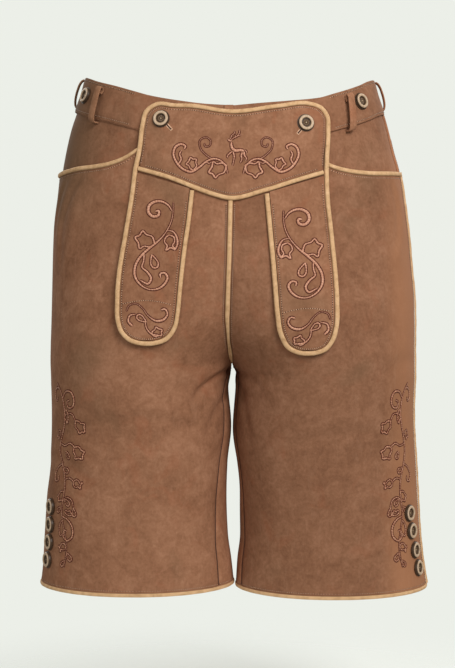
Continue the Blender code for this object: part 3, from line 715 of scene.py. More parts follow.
def between_seams(side, u, drop, start, edge, outer):
    """Points of a panel from one seam to the next, drawn in near both of them."""
    turn = blend(start, edge, u)
    gap = np.minimum(turn - start, edge - turn) * METRES_PER_DEGREE
    drawn = SEAM_DRAW * bell(gap / SEAM_REACH)
    return skin(side, turn, drop, -drawn if outer else -CLOTH - 0.4 * drawn)


def make_leg_panels(side):
    """The front and the back of one half."""
    hem = HEM[side] - HEM_EDGE - SEAM
    seam = SIDE_SEAM[side]

    def front_place(u, v, outer):
        u = crowd(u, 0.55)
        guess = blend(90.0, seam, u)
        drop = blend(np.maximum(band_foot(side, guess), mouth(side, guess)), hem, v)
        edge = seam - degrees_for(side, seam, drop, SEAM / 2)
        return between_seams(side, u, drop, inner_turn(side, drop), edge, outer)

    def back_place(u, v, outer):
        u = crowd(u, 0.55)
        drop = blend(band_foot(side, blend(seam, 270.0, u)), hem, v)
        start = seam + degrees_for(side, seam, drop, SEAM / 2)
        return between_seams(side, u, drop, start, back_turn(side, drop), outer)

    made = {}
    for kind, place in (("front", front_place), ("back", back_place)):
        name = f"{kind}_{SIDES[side]}"
        cells = wall(LEG_COLUMNS[kind], LEG_ROWS, place)
        piece = show("suede_" + name, cells, [suede_skins[name]], name)
        made[kind] = cut_sheet(piece, place, "hung", ["waistband_" + SIDES[side]])
    return made


legs = {side: make_leg_panels(side) for side in (RIGHT, LEFT)}
# Painted shade: the seam's groove is coloured dark.
groove_shade_skin = start_material("seam_groove_shade", 0.9, Base_Color=(*GROOVE_SHADE, 1.0))[0]


def make_groove(side):
    """The line of the inner leg seam, pressed in between front and back and painted dark as the
    shade in it.
    """
    def place(u, v, outer):
        drop = blend(CROTCH + 0.003, HEM[side] - 0.005, v)
        turn = inseam(side, drop)
        turn = turn + degrees_for(side, turn, drop, SEAM * 4) * (u - 0.5)
        return skin(side, turn, drop, -SEAM if outer else -CLOTH)
    return show("seam_inner_" + SIDES[side], wall(2, 90, place), [groove_shade_skin])


for side in (RIGHT, LEFT):
    legs[side]["front"]["sewn"].append(make_groove(side))


# The hip pockets: above each slanted pocket mouth a facing of the darker suede
# shows. It lies one cloth's thickness behind the front and is tucked under it.
FACING_LIFT = -CLOTH - 2 * SEAM
FACING_INNER = 0.078
FACING_TUCK = 0.015


def make_facing(side):
    """The facing of one hip pocket."""
    def place(u, v, outer):
        seam = SIDE_SEAM[side]
        start = turn_at(side, FACING_INNER, 0.080)
        edge = seam - degrees_for(side, seam, 0.080, SEAM / 2)
        turn = blend(start, edge, u)
        drop = blend(band_foot(side, turn), mouth(side, turn) + FACING_TUCK, v)
        return skin(side, turn, drop, FACING_LIFT if outer else FACING_LIFT - CLOTH)
    name = "pocket_facing_" + SIDES[side]
    piece = show("suede_" + name, wall(48, 24, place), [band_suede], name)
    cut_sheet(piece, place, "laid", ["suede_front_" + SIDES[side]])


for side in (RIGHT, LEFT):
    make_facing(side)


# The waistband: two halves of the darker suede, folded over and stitched along both
# edges, joined behind and meeting under the flap in front. It dips in front and
# behind, as it does when worn.
BAND_LIFT = 0.0006
BAND_CLOTH = 0.0030
BAND_ROLL = 0.0011
# Shares of the band's height at its two rows of stitches
BAND_ROWS = (0.075, 0.925)
# The tape over the centre back seam inside
TAPE_HALF, TAPE_LIFT, TAPE_CLOTH = 0.0045, -0.0031, 0.0008
# Above the flap the left half's end laps over the right half's: x of its two sides
LAP = (-0.0085, 0.0012)
LAP_CLOTH = 0.0012


def rolled(share):
    """How far a folded edge rounds off: 0 on the face and 1 at both edges."""
    return 1.0 - np.sqrt(1.0 - np.abs(2.0 * share - 1.0) ** 9)


def make_band(side):
    """Half of the waistband, from the middle in front to the middle behind."""
    def place(u, v, outer):
        start = turn_at(side, SEAM / 2, 0.050)
        turn = blend(start, 360.0 - start, u)
        v = crowd(v, 0.6)
        roll = BAND_ROLL * rolled(v)
        press = 0.0005 * sum(bell((v - row) / 0.035) for row in BAND_ROWS)
        lift = BAND_LIFT - (roll + press if outer else BAND_CLOTH - roll)
        return skin(side, turn, waist_line(side, turn) + v * BAND_HEIGHT, lift)
    name = "waistband_" + SIDES[side]
    piece = show("suede_" + name, wall(150, 20, place), [band_suede], name)
    return cut_sheet(piece, place, "folded", ["suede_front_" + SIDES[side],
                                              "suede_back_" + SIDES[side]])


def tape_place(u, v, outer):
    """The tape inside, from the waist almost to the crotch."""
    drop = blend(waist_line(RIGHT, 270.0) + 0.002, CROTCH - 0.010, v)
    turn = 360.0 - turn_at(RIGHT, blend(TAPE_HALF, -TAPE_HALF, u), drop)
    return skin(RIGHT, turn, drop, TAPE_LIFT if outer else TAPE_LIFT - TAPE_CLOTH)


def lap_place(u, v, outer):
    """The lapped end of the waistband's left half."""
    drop = waist_line(RIGHT, 90.0) + SEAM + v * (BAND_HEIGHT - 0.001)
    lift = BAND_LIFT + (LAP_CLOTH - 0.0006 * rolled(u) if outer else -0.0002)
    return front(blend(*LAP, u), drop, lift)


bands = {side: make_band(side) for side in (RIGHT, LEFT)}
legs[RIGHT]["back"]["sewn"].append(show("suede_back_tape", wall(4, 60, tape_place),
                                        [suede_skins["back_right"]]))
# Painted light: the lap is in the paler lit copy of the suede.
bands[LEFT]["sewn"].append(show("suede_band_lap", wall(16, 24, lap_place), [lit_loop_suede]))


# The flap: a bib that buttons to the waistband and two tabs that hang from it, all
# of suede. The tabs hang free, so they stand off the legs a little as they go down.
FLAP_SEAT = 0.0010
FLAP_LIFT = FLAP_SEAT + CLOTH
FLAP_STAND = 0.0040
# The drop at which the tabs begin to stand off, and over how much more drop they do
STAND_START, STAND_REACH = 0.135, 0.13
FLAP_ROUND, FLAP_ROUND_REACH = 0.0005, 0.0035
# x, drop
BIB_TOP = ((-0.0922, 0.0488), (-0.0795, 0.0400), (-0.0600, 0.0418), (-0.0450, 0.0423),
           (0.0000, 0.0488), (0.0490, 0.0424), (0.0795, 0.0390), (0.0950, 0.0440),
           (0.1022, 0.0545))
BIB_SIDE = {
    RIGHT: ((-0.1037, 0.1102), (-0.0992, 0.0880), (-0.0963, 0.0640)),
    LEFT: ((0.1010, 0.1141), (0.1015, 0.0990), (0.1030, 0.0680)),
}
# Shares of the bib's outline at its two top corners, and near its foot
BIB_CORNERS = (0.235, 0.775)
BIB_FOOT = 0.014
BIB_WIDE, BIB_HIGH, TAB_WIDE = 0.20, 0.075, 0.065
# Shares of the lower line at the bib's two lower corners
POINT_ENDS = (0.006, 0.994)
# Shares of a tab's outer and inner line at its top, and of both at its foot
TAB_TOPS, TAB_FOOT = (0.020, 0.009), 0.955
POINT = ((-0.0980, 0.1100), (-0.0633, 0.1207), (-0.0398, 0.1300), (-0.0185, 0.1376),
         (0.0000, 0.1418), (0.0335, 0.1339), (0.0678, 0.1226), (0.0951, 0.1141))
TAB_OUTER = {
    RIGHT: ((-0.1037, 0.1099), (-0.1074, 0.1390), (-0.1133, 0.1770), (-0.1186, 0.2150),
            (-0.1208, 0.2526), (-0.1206, 0.2690), (-0.1165, 0.2827), (-0.1085, 0.2910),
            (-0.0960, 0.2950), (-0.0895, 0.2954)),
    LEFT: ((0.1010, 0.1138), (0.1018, 0.1390), (0.1056, 0.1770), (0.1090, 0.2240),
           (0.1104, 0.2520), (0.1098, 0.2770), (0.1060, 0.2910), (0.0990, 0.3003),
           (0.0880, 0.3047), (0.0790, 0.3054)),
}
TAB_INNER = {
    RIGHT: ((-0.0385, 0.1305), (-0.0415, 0.1590), (-0.0465, 0.1965), (-0.0517, 0.2433),
            (-0.0535, 0.2600), (-0.0580, 0.2780), (-0.0680, 0.2900), (-0.0820, 0.2948),
            (-0.0895, 0.2952)),
    LEFT: ((0.0341, 0.1340), (0.0366, 0.1590), (0.0402, 0.1965), (0.0439, 0.2339),
           (0.0468, 0.2619), (0.0510, 0.2843), (0.0590, 0.2985), (0.0710, 0.3045),
           (0.0790, 0.3052)),
}


class Line:
    """A smooth line through points, such as x and drop."""

    def __init__(self, points, samples=400):
        knots = np.array(points, float)
        lengths = np.append(0.0, np.cumsum(np.linalg.norm(np.diff(knots, axis=0), axis=1)))
        slopes = np.gradient(knots, lengths, axis=0)
        places = np.linspace(0.0, lengths[-1], samples)
        i = np.clip(np.searchsorted(lengths, places) - 1, 0, len(lengths) - 2)
        span = (lengths[i + 1] - lengths[i])[:, None]
        t = (places - lengths[i])[:, None] / span
        self.points = glide(knots[i], knots[i + 1], slopes[i] * span, slopes[i + 1] * span, t)
        steps = np.linalg.norm(np.diff(self.points, axis=0), axis=1)
        self.lengths = np.append(0.0, np.cumsum(steps))
        self.length = self.lengths[-1]

    def read(self, along):
        """The points at lengths along the line."""
        return np.stack([np.interp(along, self.lengths, column)
                         for column in self.points.T], axis=-1)

    def at(self, share, beside=0.0):
        """Points at shares of the length, moved to the left of the way along."""
        along = np.clip(share, 0.0, 1.0) * self.length
        ahead = self.read(np.minimum(along + 0.0008, self.length)) \
            - self.read(np.maximum(along - 0.0008, 0.0))
        ahead /= np.linalg.norm(ahead, axis=-1, keepdims=True)
        left = np.stack([ahead[..., 1], -ahead[..., 0]], axis=-1)
        return self.read(along) + np.asarray(beside)[..., None] * left


def stand(x, drop):
    """How far the hanging tabs stand off beyond the flap's own seat."""
    down = np.clip((drop - STAND_START) / STAND_REACH, 0.0, 1.0)
    aside = np.clip((np.abs(x) - 0.04) / 0.07, 0.0, 1.0)
    return FLAP_STAND * down * down * (3.0 - 2.0 * down) * (0.45 + 0.55 * aside)


def flap_point(x, drop, lift):
    """Points on the flap, lifted from the skin and with its tabs standing off."""
    return front(x, drop, lift + stand(x, drop))


bib_line = Line(BIB_SIDE[RIGHT] + BIB_TOP + BIB_SIDE[LEFT][::-1])
point_line = Line(POINT)
flap_inset = EDGE_WIDTH + 2 * SEAM


def flap_wall(x, drop, near, outer):
    """Points of the flap's cloth, rounded off near its edges."""
    top = FLAP_LIFT - FLAP_ROUND * bell(near / FLAP_ROUND_REACH)
    return flap_point(x, drop, top if outer else FLAP_SEAT)


def bib_place(u, v, outer):
    """The bib, between its own outline and the lower line that the tabs hang from."""
    first, last = BIB_CORNERS
    seat = EDGE_WIDTH / 2 + SEAM
    down, over = v[:, None], u[:, None]
    upper = bib_line.at(blend(first, last, u), -flap_inset)
    lower = point_line.at(blend(*POINT_ENDS, u), seat)
    bulge = 0.0
    for corner, end, foot, share in ((first, POINT_ENDS[0], BIB_FOOT, 1.0 - over),
                                     (last, POINT_ENDS[1], 1.0 - BIB_FOOT, over)):
        straight = blend(bib_line.at(corner, -flap_inset), point_line.at(end, seat), down)
        bulge += (bib_line.at(blend(corner, foot, v), -flap_inset) - straight) * share
    x, drop = (blend(upper, lower, down) + bulge * (1.0 - down ** 6)).T
    near = np.minimum(np.minimum(u, 1.0 - u) * BIB_WIDE, np.minimum(v, 1.0 - v) * BIB_HIGH)
    return flap_wall(x, drop, near, outer)


bib = cut_sheet(show("suede_flap_bib", wall(96, 44, bib_place), [flap_suede],
                     "flap_bib"), bib_place, "hung", ["horn_button_bib_right",
                                              "horn_button_bib_left"])


def make_tab(side):
    """One of the two hanging tabs."""
    outside_line, inside_line = Line(TAB_OUTER[side]), Line(TAB_INNER[side])
    inward = -side * flap_inset

    def place(u, v, outer):
        outside = outside_line.at(blend(TAB_TOPS[0], TAB_FOOT, v), inward)
        inside = inside_line.at(blend(TAB_TOPS[1], TAB_FOOT, v), -inward)
        x, drop = blend(outside, inside, u[:, None]).T
        return flap_wall(x, drop, np.minimum(u, 1.0 - u) * TAB_WIDE, outer)
    name = "flap_tab_" + SIDES[side]
    piece = show("suede_" + name, wall(36, 96, place), [flap_suede], name)
    return cut_sheet(piece, place, "hung", ["suede_flap_bib"])


tabs = {side: make_tab(side) for side in (RIGHT, LEFT)}


# The bindings: strips of pale tan suede about 5 mm wide, folded over the raw edges
# and stitched down, so each is rounded on top and pinched along its sides.
EDGING_DARK = (0.490, 0.275, 0.135)
EDGING_MID = (0.680, 0.415, 0.215)
EDGING_PALE = (0.790, 0.510, 0.290)
FLAP_EDGE_LIFT = FLAP_LIFT + 0.0004
PIPING_LIFT = 0.0019


def make_edging_skin():
    """Pale tan suede with a fine grain and small dull marks."""
    made, shader, place = start_material("edging_suede", 0.8, Specular_IOR_Level=0.2)
    marks = place.noise(160.0, 3.0, 0.6, 0.5)
    grain = place.noise(1100.0, 2.0, 0.6)
    tone = marks * 0.7 + grain * 0.3
    tone.ramp((0.30, EDGING_DARK), (0.50, EDGING_MID), (0.70, EDGING_PALE)).into(
        shader, "Base Color")
    grain.bump(0.4, 0.0004, shader)
    return made


edging_skin = make_edging_skin()


def dome(v):
    """The height of a binding across its width: 0 at its sides and 1 on top."""
    return (1.0 - np.abs(2.0 * v - 1.0) ** 3.0) ** 0.6


def pucker(u, length, phase=0.0):
    """Small rises between the stitches that hold a binding down."""
    along = u * length
    return 0.00010 * np.sin(along * 2.0 * math.pi / 0.0032 + phase) \
        + 0.00012 * np.sin(along * 2.0 * math.pi / 0.021 + 2.0 * phase)


def flap_strip(name, line, near, far, start=0.0, end=1.0):
    """A binding on the flap between two offsets beside a line."""
    def place(u, v, outer):
        x, drop = line.at(blend(start, end, u), blend(near, far, v)).T
        top = blend(FLAP_SEAT + 0.0012, FLAP_EDGE_LIFT + 0.0003, dome(v)) \
            + pucker(u, line.length)
        return flap_point(x, drop, top if outer else FLAP_SEAT)
    cells = wall(int(line.length / 0.0016), 8, place)
    return show("edging_" + name, cells, [edging_skin], name)


bib["sewn"] += [flap_strip("bib_edging", bib_line, -EDGE_WIDTH, 0.0),
                flap_strip("flap_point_edging", point_line, -EDGE_WIDTH / 2, EDGE_WIDTH / 2)]
tab_lines = {}
for side in (RIGHT, LEFT):
    tab_lines[side] = Line(TAB_OUTER[side] + TAB_INNER[side][-2::-1])
    tabs[side]["sewn"].append(flap_strip("tab_edging_" + SIDES[side], tab_lines[side], 0.0,
                                         -side * EDGE_WIDTH, end=0.991))


# The pipings: the same tan strips over the pocket mouths, down both side seams, round
# each hem, down the middle in front and along the knife pocket's opening.
MOUTH_START = {RIGHT: 0.0985, LEFT: 0.1000}
PIPING_TOP = 0.1445
PIPING_END = 0.3150
# Drop, turn of the front edge, turn of the back edge, lift of the bound edge
KNIFE_POCKET = ((0.200, 191.0, 207.0, 0.0052), (0.225, 191.6, 207.6, 0.0048),
                (0.250, 193.6, 208.2, 0.0038), (0.300, 196.0, 208.8, 0.0034),
                (0.326, 198.0, 207.0, 0.0034))
KNIFE_LIFT = 0.0034


def make_seam_pipings(side):
    """The pipings of one half: pocket mouth, side seam and hem."""
    seam = SIDE_SEAM[side]
    start = turn_at(side, MOUTH_START[side], 0.095)
    end = seam - degrees_for(side, seam, 0.110, EDGE_WIDTH / 2 + SEAM)

    def mouth_place(u, v, outer):
        turn = blend(start, end, u)
        top = blend(SEAM + 0.0004, PIPING_LIFT + 0.0003, dome(v)) + pucker(u, 0.11)
        return skin(side, turn, mouth(side, turn) + v * EDGE_WIDTH, top if outer else SEAM)

    hem = HEM[side] - HEM_EDGE - SEAM
    top_drop = mouth(side, seam)

    def side_place(u, v, outer):
        drop = blend(top_drop, hem, v)
        half = degrees_for(side, seam, drop, EDGE_WIDTH / 2)
        top = blend(SEAM + 0.0003, PIPING_LIFT + 0.0003, dome(u)) + pucker(v, 0.46, 1.0)
        return skin(side, seam + half * (2 * u - 1), drop, top if outer else SEAM)

    def hem_place(u, v, outer):
        drop = HEM[side] - HEM_EDGE * (1 - v)
        round_off = 0.0007 * (1.0 - dome(v))
        top = 3 * SEAM - round_off + pucker(u, 0.58, 2.0)
        return skin(side, 360.0 * u, drop, top if outer else -CLOTH - 2 * SEAM + round_off)

    for kind, place, across, down, ring, sheet in (
            ("pocket_edging", mouth_place, 70, 8, False, "front"),
            ("side_piping", side_place, 8, 230, False, "front"),
            ("hem_edging", hem_place, 340, 8, True, "back")):
        name = f"{kind}_{SIDES[side]}"
        piece = show("edging_" + name, wall(across, down, place, ring), [edging_skin],
                     name)
        legs[side][sheet]["sewn"].append(piece)


for side in (RIGHT, LEFT):
    make_seam_pipings(side)


def centre_place(u, v, outer):
    """The centre front's piping, which bridges the crease between the two halves."""
    drop = blend(PIPING_TOP, PIPING_END, v)
    groove = front(np.full(v.shape, SEAM / 2), drop)
    out = front(np.full(v.shape, SEAM / 2), drop, 1.0) - groove
    groove[:, 0] = sway(drop)
    out[:, 0] = 0.0
    out /= (out ** 2).sum(axis=1, keepdims=True)
    top = blend(0.0009, PIPING_LIFT + 0.0002, dome(u)) + pucker(v, 0.17, 0.5)
    lift = np.where(outer, top, 2 * SEAM)
    aside = EDGE_WIDTH * (u - 0.5)
    flat = front(np.where(np.abs(aside) < 0.0004, 0.0004, aside), drop, lift)
    share = np.clip(np.abs(aside) / 0.0006, 0.0, 1.0)[:, None]
    return blend(groove + out * lift[:, None], flat, share)


centre_piping = show("edging_centre_piping", wall(8, 96, centre_place), [edging_skin],
                     "centre_piping")
legs[RIGHT]["front"]["sewn"].append(centre_piping)


# The knife pocket: a long narrow patch on the wearer's right side, behind the side
# seam, with its opening bound along the front.
read_knife = reader(KNIFE_POCKET)


def knife_place(u, v, outer):
    """The knife pocket's patch, which stands off a little along its opening."""
    drop = blend(KNIFE_POCKET[0][0], KNIFE_POCKET[-1][0], v)
    ahead, behind, stand_off = read_knife(drop)
    ahead = ahead + degrees_for(RIGHT, ahead, drop, EDGE_WIDTH + SEAM)
    edge = np.minimum(np.minimum(v, 1.0 - v) * 0.126, (1.0 - u) * 0.022)
    cloth = CLOTH * (1.0 - 0.45 * bell(edge / 0.0016)) if outer else 0.0
    gape = (stand_off - KNIFE_LIFT) * (1.0 - u) ** 2
    return skin(RIGHT, blend(ahead, behind, u), drop, SEAM + cloth + gape)


def knife_edge_place(u, v, outer):
    """The binding of the knife pocket's opening."""
    drop = blend(KNIFE_POCKET[0][0], KNIFE_POCKET[-1][0], v)
    ahead, _, stand_off = read_knife(drop)
    top = blend(stand_off - 0.0016, stand_off + 0.0003, dome(u)) + pucker(v, 0.126)
    return skin(RIGHT, ahead + degrees_for(RIGHT, ahead, drop, EDGE_WIDTH * u), drop,
                top if outer else SEAM)


knife = cut_sheet(show("suede_knife_pocket", wall(16, 64, knife_place),
                       [suede_skins["back_right"]], "knife_pocket"),
                  knife_place, "laid", ["suede_back_right"])
knife["sewn"].append(show("edging_knife_pocket", wall(8, 80, knife_edge_place),
                          [edging_skin], "knife_pocket_edging"))


# The belt loops: five folded straps of the band's suede, sewn down near the top and
# the foot of the waistband and bowed out between, so that a belt can pass through.
LOOP_WIDTH = 0.0080
LOOP_CLOTH = 0.0020
# Name, side, turn at the top and at the foot, and whether the loop is in front, where
# both its ends fold under
BELT_LOOPS = (
    ("belt_loop_front_right", RIGHT, 144.9, 143.8, True),
    ("belt_loop_front_left", LEFT, 136.8, 134.2, True),
    ("belt_loop_side_right", RIGHT, 183.0, 183.0, False),
    ("belt_loop_side_left", LEFT, 183.0, 183.0, False),
    ("belt_loop_back", RIGHT, 270.0, 270.0, False),
)
# Lift of the middle of the cloth, drop below the waist line
FRONT_LOOP = ((0.0038, 0.0126), (0.0020, 0.0094), (0.0029, 0.0062), (0.0052, 0.0054),
              (0.0068, 0.0080), (0.0073, 0.0140), (0.0074, 0.0240), (0.0070, 0.0345),
              (0.0058, 0.0404), (0.0036, 0.0426), (0.0012, 0.0422),
              (FACING_LIFT + 2 * SEAM, 0.0416))
SIDE_LOOP = ((0.0020, 0.0010), (0.0042, 0.0028), (0.0060, 0.0070), (0.0068, 0.0130),
             (0.0068, 0.0195), (0.0058, 0.0255), (0.0036, 0.0305), (0.0020, 0.0320))


def make_belt_loop(name, side, turn, foot_turn, in_front):
    """One belt loop, with its edges rounded and two rows of stitches pressed in."""
    line = Line(FRONT_LOOP if in_front else SIDE_LOOP)

    def place(u, v, outer):
        round_off = 0.0006 * np.abs(2.0 * u - 1.0) ** 5
        press = 0.00025 * (bell((u - 0.20) / 0.07) + bell((u - 0.80) / 0.07))
        beside = LOOP_CLOTH / 2 - round_off
        out, below = line.at(v, beside - press if outer else -beside).T
        half = degrees_for(side, turn, 0.030, LOOP_WIDTH / 2)
        here = blend(turn, foot_turn, below / BAND_HEIGHT) + half * (2 * u - 1)
        return skin(side, here, waist_line(side, here) + below, out)
    # Painted light: the loops are in the paler lit copy of the suede.
    piece = show("suede_" + name, wall(14, 48, place), [lit_loop_suede], name)
    bands[side]["sewn"].append(piece)


for loop in BELT_LOOPS:
    make_belt_loop(*loop)


# The buttons: turned discs with the look of horn, a broad pale rim round a dark
# sunken middle that has a ring of petals and a small bright knob. Two close the
# bib, two sit on the waistband and four at each hem.
BUTTON_RADIUS = 0.0085
BUTTON_HEIGHT = 0.0034
# Share of the radius, share of the height. The last rows make a low flange past the rim that is
# painted dark as the button's shadow on the cloth.
BUTTON_OUTLINE = ((0.00, 0.62), (0.07, 0.60), (0.12, 0.46), (0.20, 0.40), (0.30, 0.50),
                  (0.40, 0.50), (0.49, 0.36), (0.54, 0.38), (0.60, 0.84), (0.66, 0.97),
                  (0.74, 1.00), (0.86, 0.98), (0.94, 0.86), (0.99, 0.64), (1.00, 0.40),
                  (1.02, 0.16), (1.10, 0.12), (1.10, 0.00), (0.00, 0.00))
BUTTON_STEPS = 40
PETALS, PETAL_RISE = 8, 0.00028
# Shares of the radius between which the petals lie
PETAL_RING = (0.15, 0.48)
HORN_PALE = (0.665, 0.480, 0.335)
HORN_MID = (0.470, 0.320, 0.190)
HORN_DARK_AND_SHADE = (0.060, 0.032, 0.016)
# Name, x, drop, lift of the back
FRONT_BUTTONS = (
    ("bib_right", -0.0740, 0.0583, FLAP_LIFT + SEAM),
    ("bib_left", 0.0765, 0.0625, FLAP_LIFT + SEAM),
    ("band_right", -0.1585, 0.0262, BAND_LIFT + 2 * SEAM),
    ("band_left", 0.1379, 0.0350, BAND_LIFT + 2 * SEAM),
)
# Distance from the middle, drop
HEM_BUTTONS = {
    RIGHT: ((0.1982, 0.4752), (0.1994, 0.4949), (0.2008, 0.5146), (0.2026, 0.5343)),
    LEFT: ((0.1930, 0.4810), (0.1960, 0.5008), (0.2005, 0.5226), (0.2045, 0.5430)),
}


def make_horn():
    """Horn look: streaked and pale on the rim, dark in the middle, and painted dark at the
    outer edge and on the flange past it as painted shade, by the UV map's first value,
    which is the share of the button's radius."""
    made, shader, place = start_material("horn", 0.42, Specular_IOR_Level=0.3)
    radius = place.other("UV").split()
    streaks = place.node("Mapping", None, {"Vector": place, "Scale": (1.0, 1.0, 0.25)}).noise(
        900.0, 3.0, 0.6, 0.8)
    rim = streaks.ramp((0.35, HORN_MID), (0.60, HORN_PALE))
    depth = radius.ramp((0.00, (0.55, 0.42, 0.28)), (0.10, (0.30, 0.20, 0.11)),
                        (0.14, HORN_DARK_AND_SHADE), (0.30, (0.17, 0.10, 0.055)), (0.44, HORN_DARK_AND_SHADE),
                        (0.56, HORN_DARK_AND_SHADE), (0.62, (0.35, 0.23, 0.13)))
    colour = depth.tint(rim, radius.step(0.58, 0.68))
    # Painted shade: dark at the outer edge and on the flange, as the button's shadow.
    colour.tint(HORN_DARK_AND_SHADE, radius.step(0.91, 0.98)).into(shader, "Base Color")
    (0.55 - 0.22 * streaks).into(shader, "Roughness")
    return made


horn = make_horn()


def make_button(name, side, reach, drop, lift):
    """One button on its seat, facing out from the skin."""
    turned = bmesh.new()
    profile = [turned.verts.new((BUTTON_RADIUS * r, 0.0, BUTTON_HEIGHT * h))
               for r, h in BUTTON_OUTLINE]
    edges = [turned.edges.new(pair) for pair in zip(profile, profile[1:])]
    bmesh.ops.spin(turned, geom=profile + edges, cent=(0, 0, 0), axis=(0, 0, 1),
                   angle=2 * math.pi, steps=BUTTON_STEPS, use_merge=True)
    bmesh.ops.remove_doubles(turned, verts=turned.verts, dist=WELD)
    for vert in turned.verts:
        share = math.hypot(vert.co.x, vert.co.y) / BUTTON_RADIUS
        if PETAL_RING[0] < share < PETAL_RING[1] and vert.co.z > BUTTON_HEIGHT / 5:
            angle = math.atan2(vert.co.y, vert.co.x)
            vert.co.z += PETAL_RISE * math.cos(PETALS * angle)
    bmesh.ops.recalc_face_normals(turned, faces=turned.faces)
    uv = turned.loops.layers.uv.new("UVMap")
    for face in turned.faces:
        for loop in face.loops:
            loop[uv].uv = (math.hypot(loop.vert.co.x, loop.vert.co.y) / BUTTON_RADIUS,
                           loop.vert.co.z / BUTTON_HEIGHT)
    turn = turn_at(side, reach, drop)
    seat = Vector(skin(side, turn, drop, lift))
    outward = Vector(normals(side, turn, drop))
    turned.transform(Matrix.Translation(seat) @ outward.to_track_quat("Z", "Y").to_matrix()
                     .to_4x4())
    return show("horn_button_" + name, turned, [horn], "button_" + name)


for name, x, drop, lift in FRONT_BUTTONS:
    side = RIGHT if x < 0.0 else LEFT
    button = make_button(name, side, abs(x), drop, lift)
    (bib if "bib" in name else bands[side])["sewn"].append(button)
for side, rows in HEM_BUTTONS.items():
    for i, (reach, drop) in enumerate(rows, start=1):
        button = make_button(f"hem_{SIDES[side]}_{i}", side, reach, drop, 2 * SEAM)
        legs[side]["front"]["sewn"].append(button)


# The machine stitching: rows of short tan stitches beside the bindings, along the
# waistband and the hems, and across both tabs, with small dents between them painted
# dark as painted shade in the needle holes.
STITCH_PITCH = 0.0024
STITCH_LONG = 0.0015
STITCH_WIDE = 0.00075
STITCH_HIGH = 0.00050
STITCH_GAP = 0.0024
STITCH_TAN = (0.800, 0.500, 0.320)
STITCH_SHADOW = (0.560, 0.320, 0.190)
# Painted shade in the dents between stitches and in the buttonholes' slits
HOLE_SHADE = (0.075, 0.026, 0.013)


def make_stitch_skin():
    """Dull tan sewing thread, with its twist as a fine grain."""
    made, shader, place = start_material("stitch_thread", 0.6)
    place.noise(500.0, 2.0).ramp((0.35, STITCH_SHADOW), (0.60, STITCH_TAN)).into(
        shader, "Base Color")
    place.noise(3000.0, 1.0).bump(0.4, 0.0002, shader)
    return made


stitch_skin = make_stitch_skin()
hole_shade_skin = start_material("needle_hole_shade", 0.9, Base_Color=(*HOLE_SHADE, 1.0))[0]


def sew(cells, place):
    """Adds a row of stitches, with small dents between them painted dark as the shade in the
    needle holes.
    place(share, lift) sets out the row's points."""
    track = place(np.linspace(0.0, 1.0, 200), 0.0)
    length = np.linalg.norm(np.diff(track, axis=0), axis=1).sum()
    count = max(int(length / STITCH_PITCH), 1)
    middles = (np.arange(count) + 0.5) / count
    half = 0.2 / count
    before, after = place(middles - half, 0.0), place(middles + half, 0.0)
    raised = place(middles, 0.001) - place(middles, 0.0)
    for start, end, up in zip(before, after, raised):
        ahead = Vector(end - start).normalized()
        out = Vector(up).normalized()
        turned = Matrix((ahead, out.cross(ahead), out)).transposed().to_4x4()
        middle = Vector((start + end) / 2)
        size = Matrix.Diagonal((STITCH_LONG / 2, STITCH_WIDE / 2, STITCH_HIGH / 2, 1.0))
        bmesh.ops.create_icosphere(cells, subdivisions=1, radius=1.0,
                                   matrix=Matrix.Translation(middle) @ turned @ size)
        # Painted shade: a dark dent after each stitch, as in its needle hole.
        size = Matrix.Diagonal((STITCH_PITCH * 0.34, STITCH_WIDE * 0.75, 0.00022, 1.0))
        hole_shade = bmesh.ops.create_icosphere(
            cells, subdivisions=1, radius=1.0,
            matrix=Matrix.Translation(middle + ahead * STITCH_PITCH / 2) @ turned @ size)
        for face in {face for vert in hole_shade["verts"] for face in vert.link_faces}:
            face.material_index = 1


def show_stitches(name, rows, sheet):
    """Sews rows into one piece that goes with a sheet of cloth."""
    cells = bmesh.new()
    for row in rows:
        sew(cells, row)
    sheet["sewn"].append(show("stitches_" + name, cells, [stitch_skin, hole_shade_skin]))


def flap_row(line, beside, start=0.0, end=1.0):
    """A row on the flap, at an offset beside a line."""
    def place(share, lift):
        x, drop = line.at(blend(start, end, share), beside).T
        return flap_point(x, drop, FLAP_LIFT + lift)
    return place


def skin_row(side, turns, drops, lift_off=0.0):
    """A row on the skin between two turns. Its drop is a function of the turn, or runs
    from the first to the last of two drops."""
    def place(share, lift):
        turn = blend(*turns, share)
        drop = drops(turn) if callable(drops) else blend(*drops, share)
        return skin(side, turn, drop, lift_off + lift)
    return place


# Where the row across each tab lies: distance from the middle at both ends, drop
TAB_CROSS = {RIGHT: (0.0625, 0.1130, 0.2530), LEFT: (0.0545, 0.1030, 0.2610)}
# Where the back's row beside the side seam starts: below the knife pocket on the right
BACK_ROW_TOP = {RIGHT: 0.340, LEFT: 0.070}
BAND_ROW_END = 268.0
BAND_ROW_LIFT = BAND_LIFT - 0.0003


def tab_cross(side):
    """The bowed row across a tab."""
    near, far, level = TAB_CROSS[side]

    def place(share, lift):
        x = side * blend(near, far, share)
        return flap_point(x, level - 0.004 * np.sin(math.pi * share), FLAP_LIFT + lift)
    return place


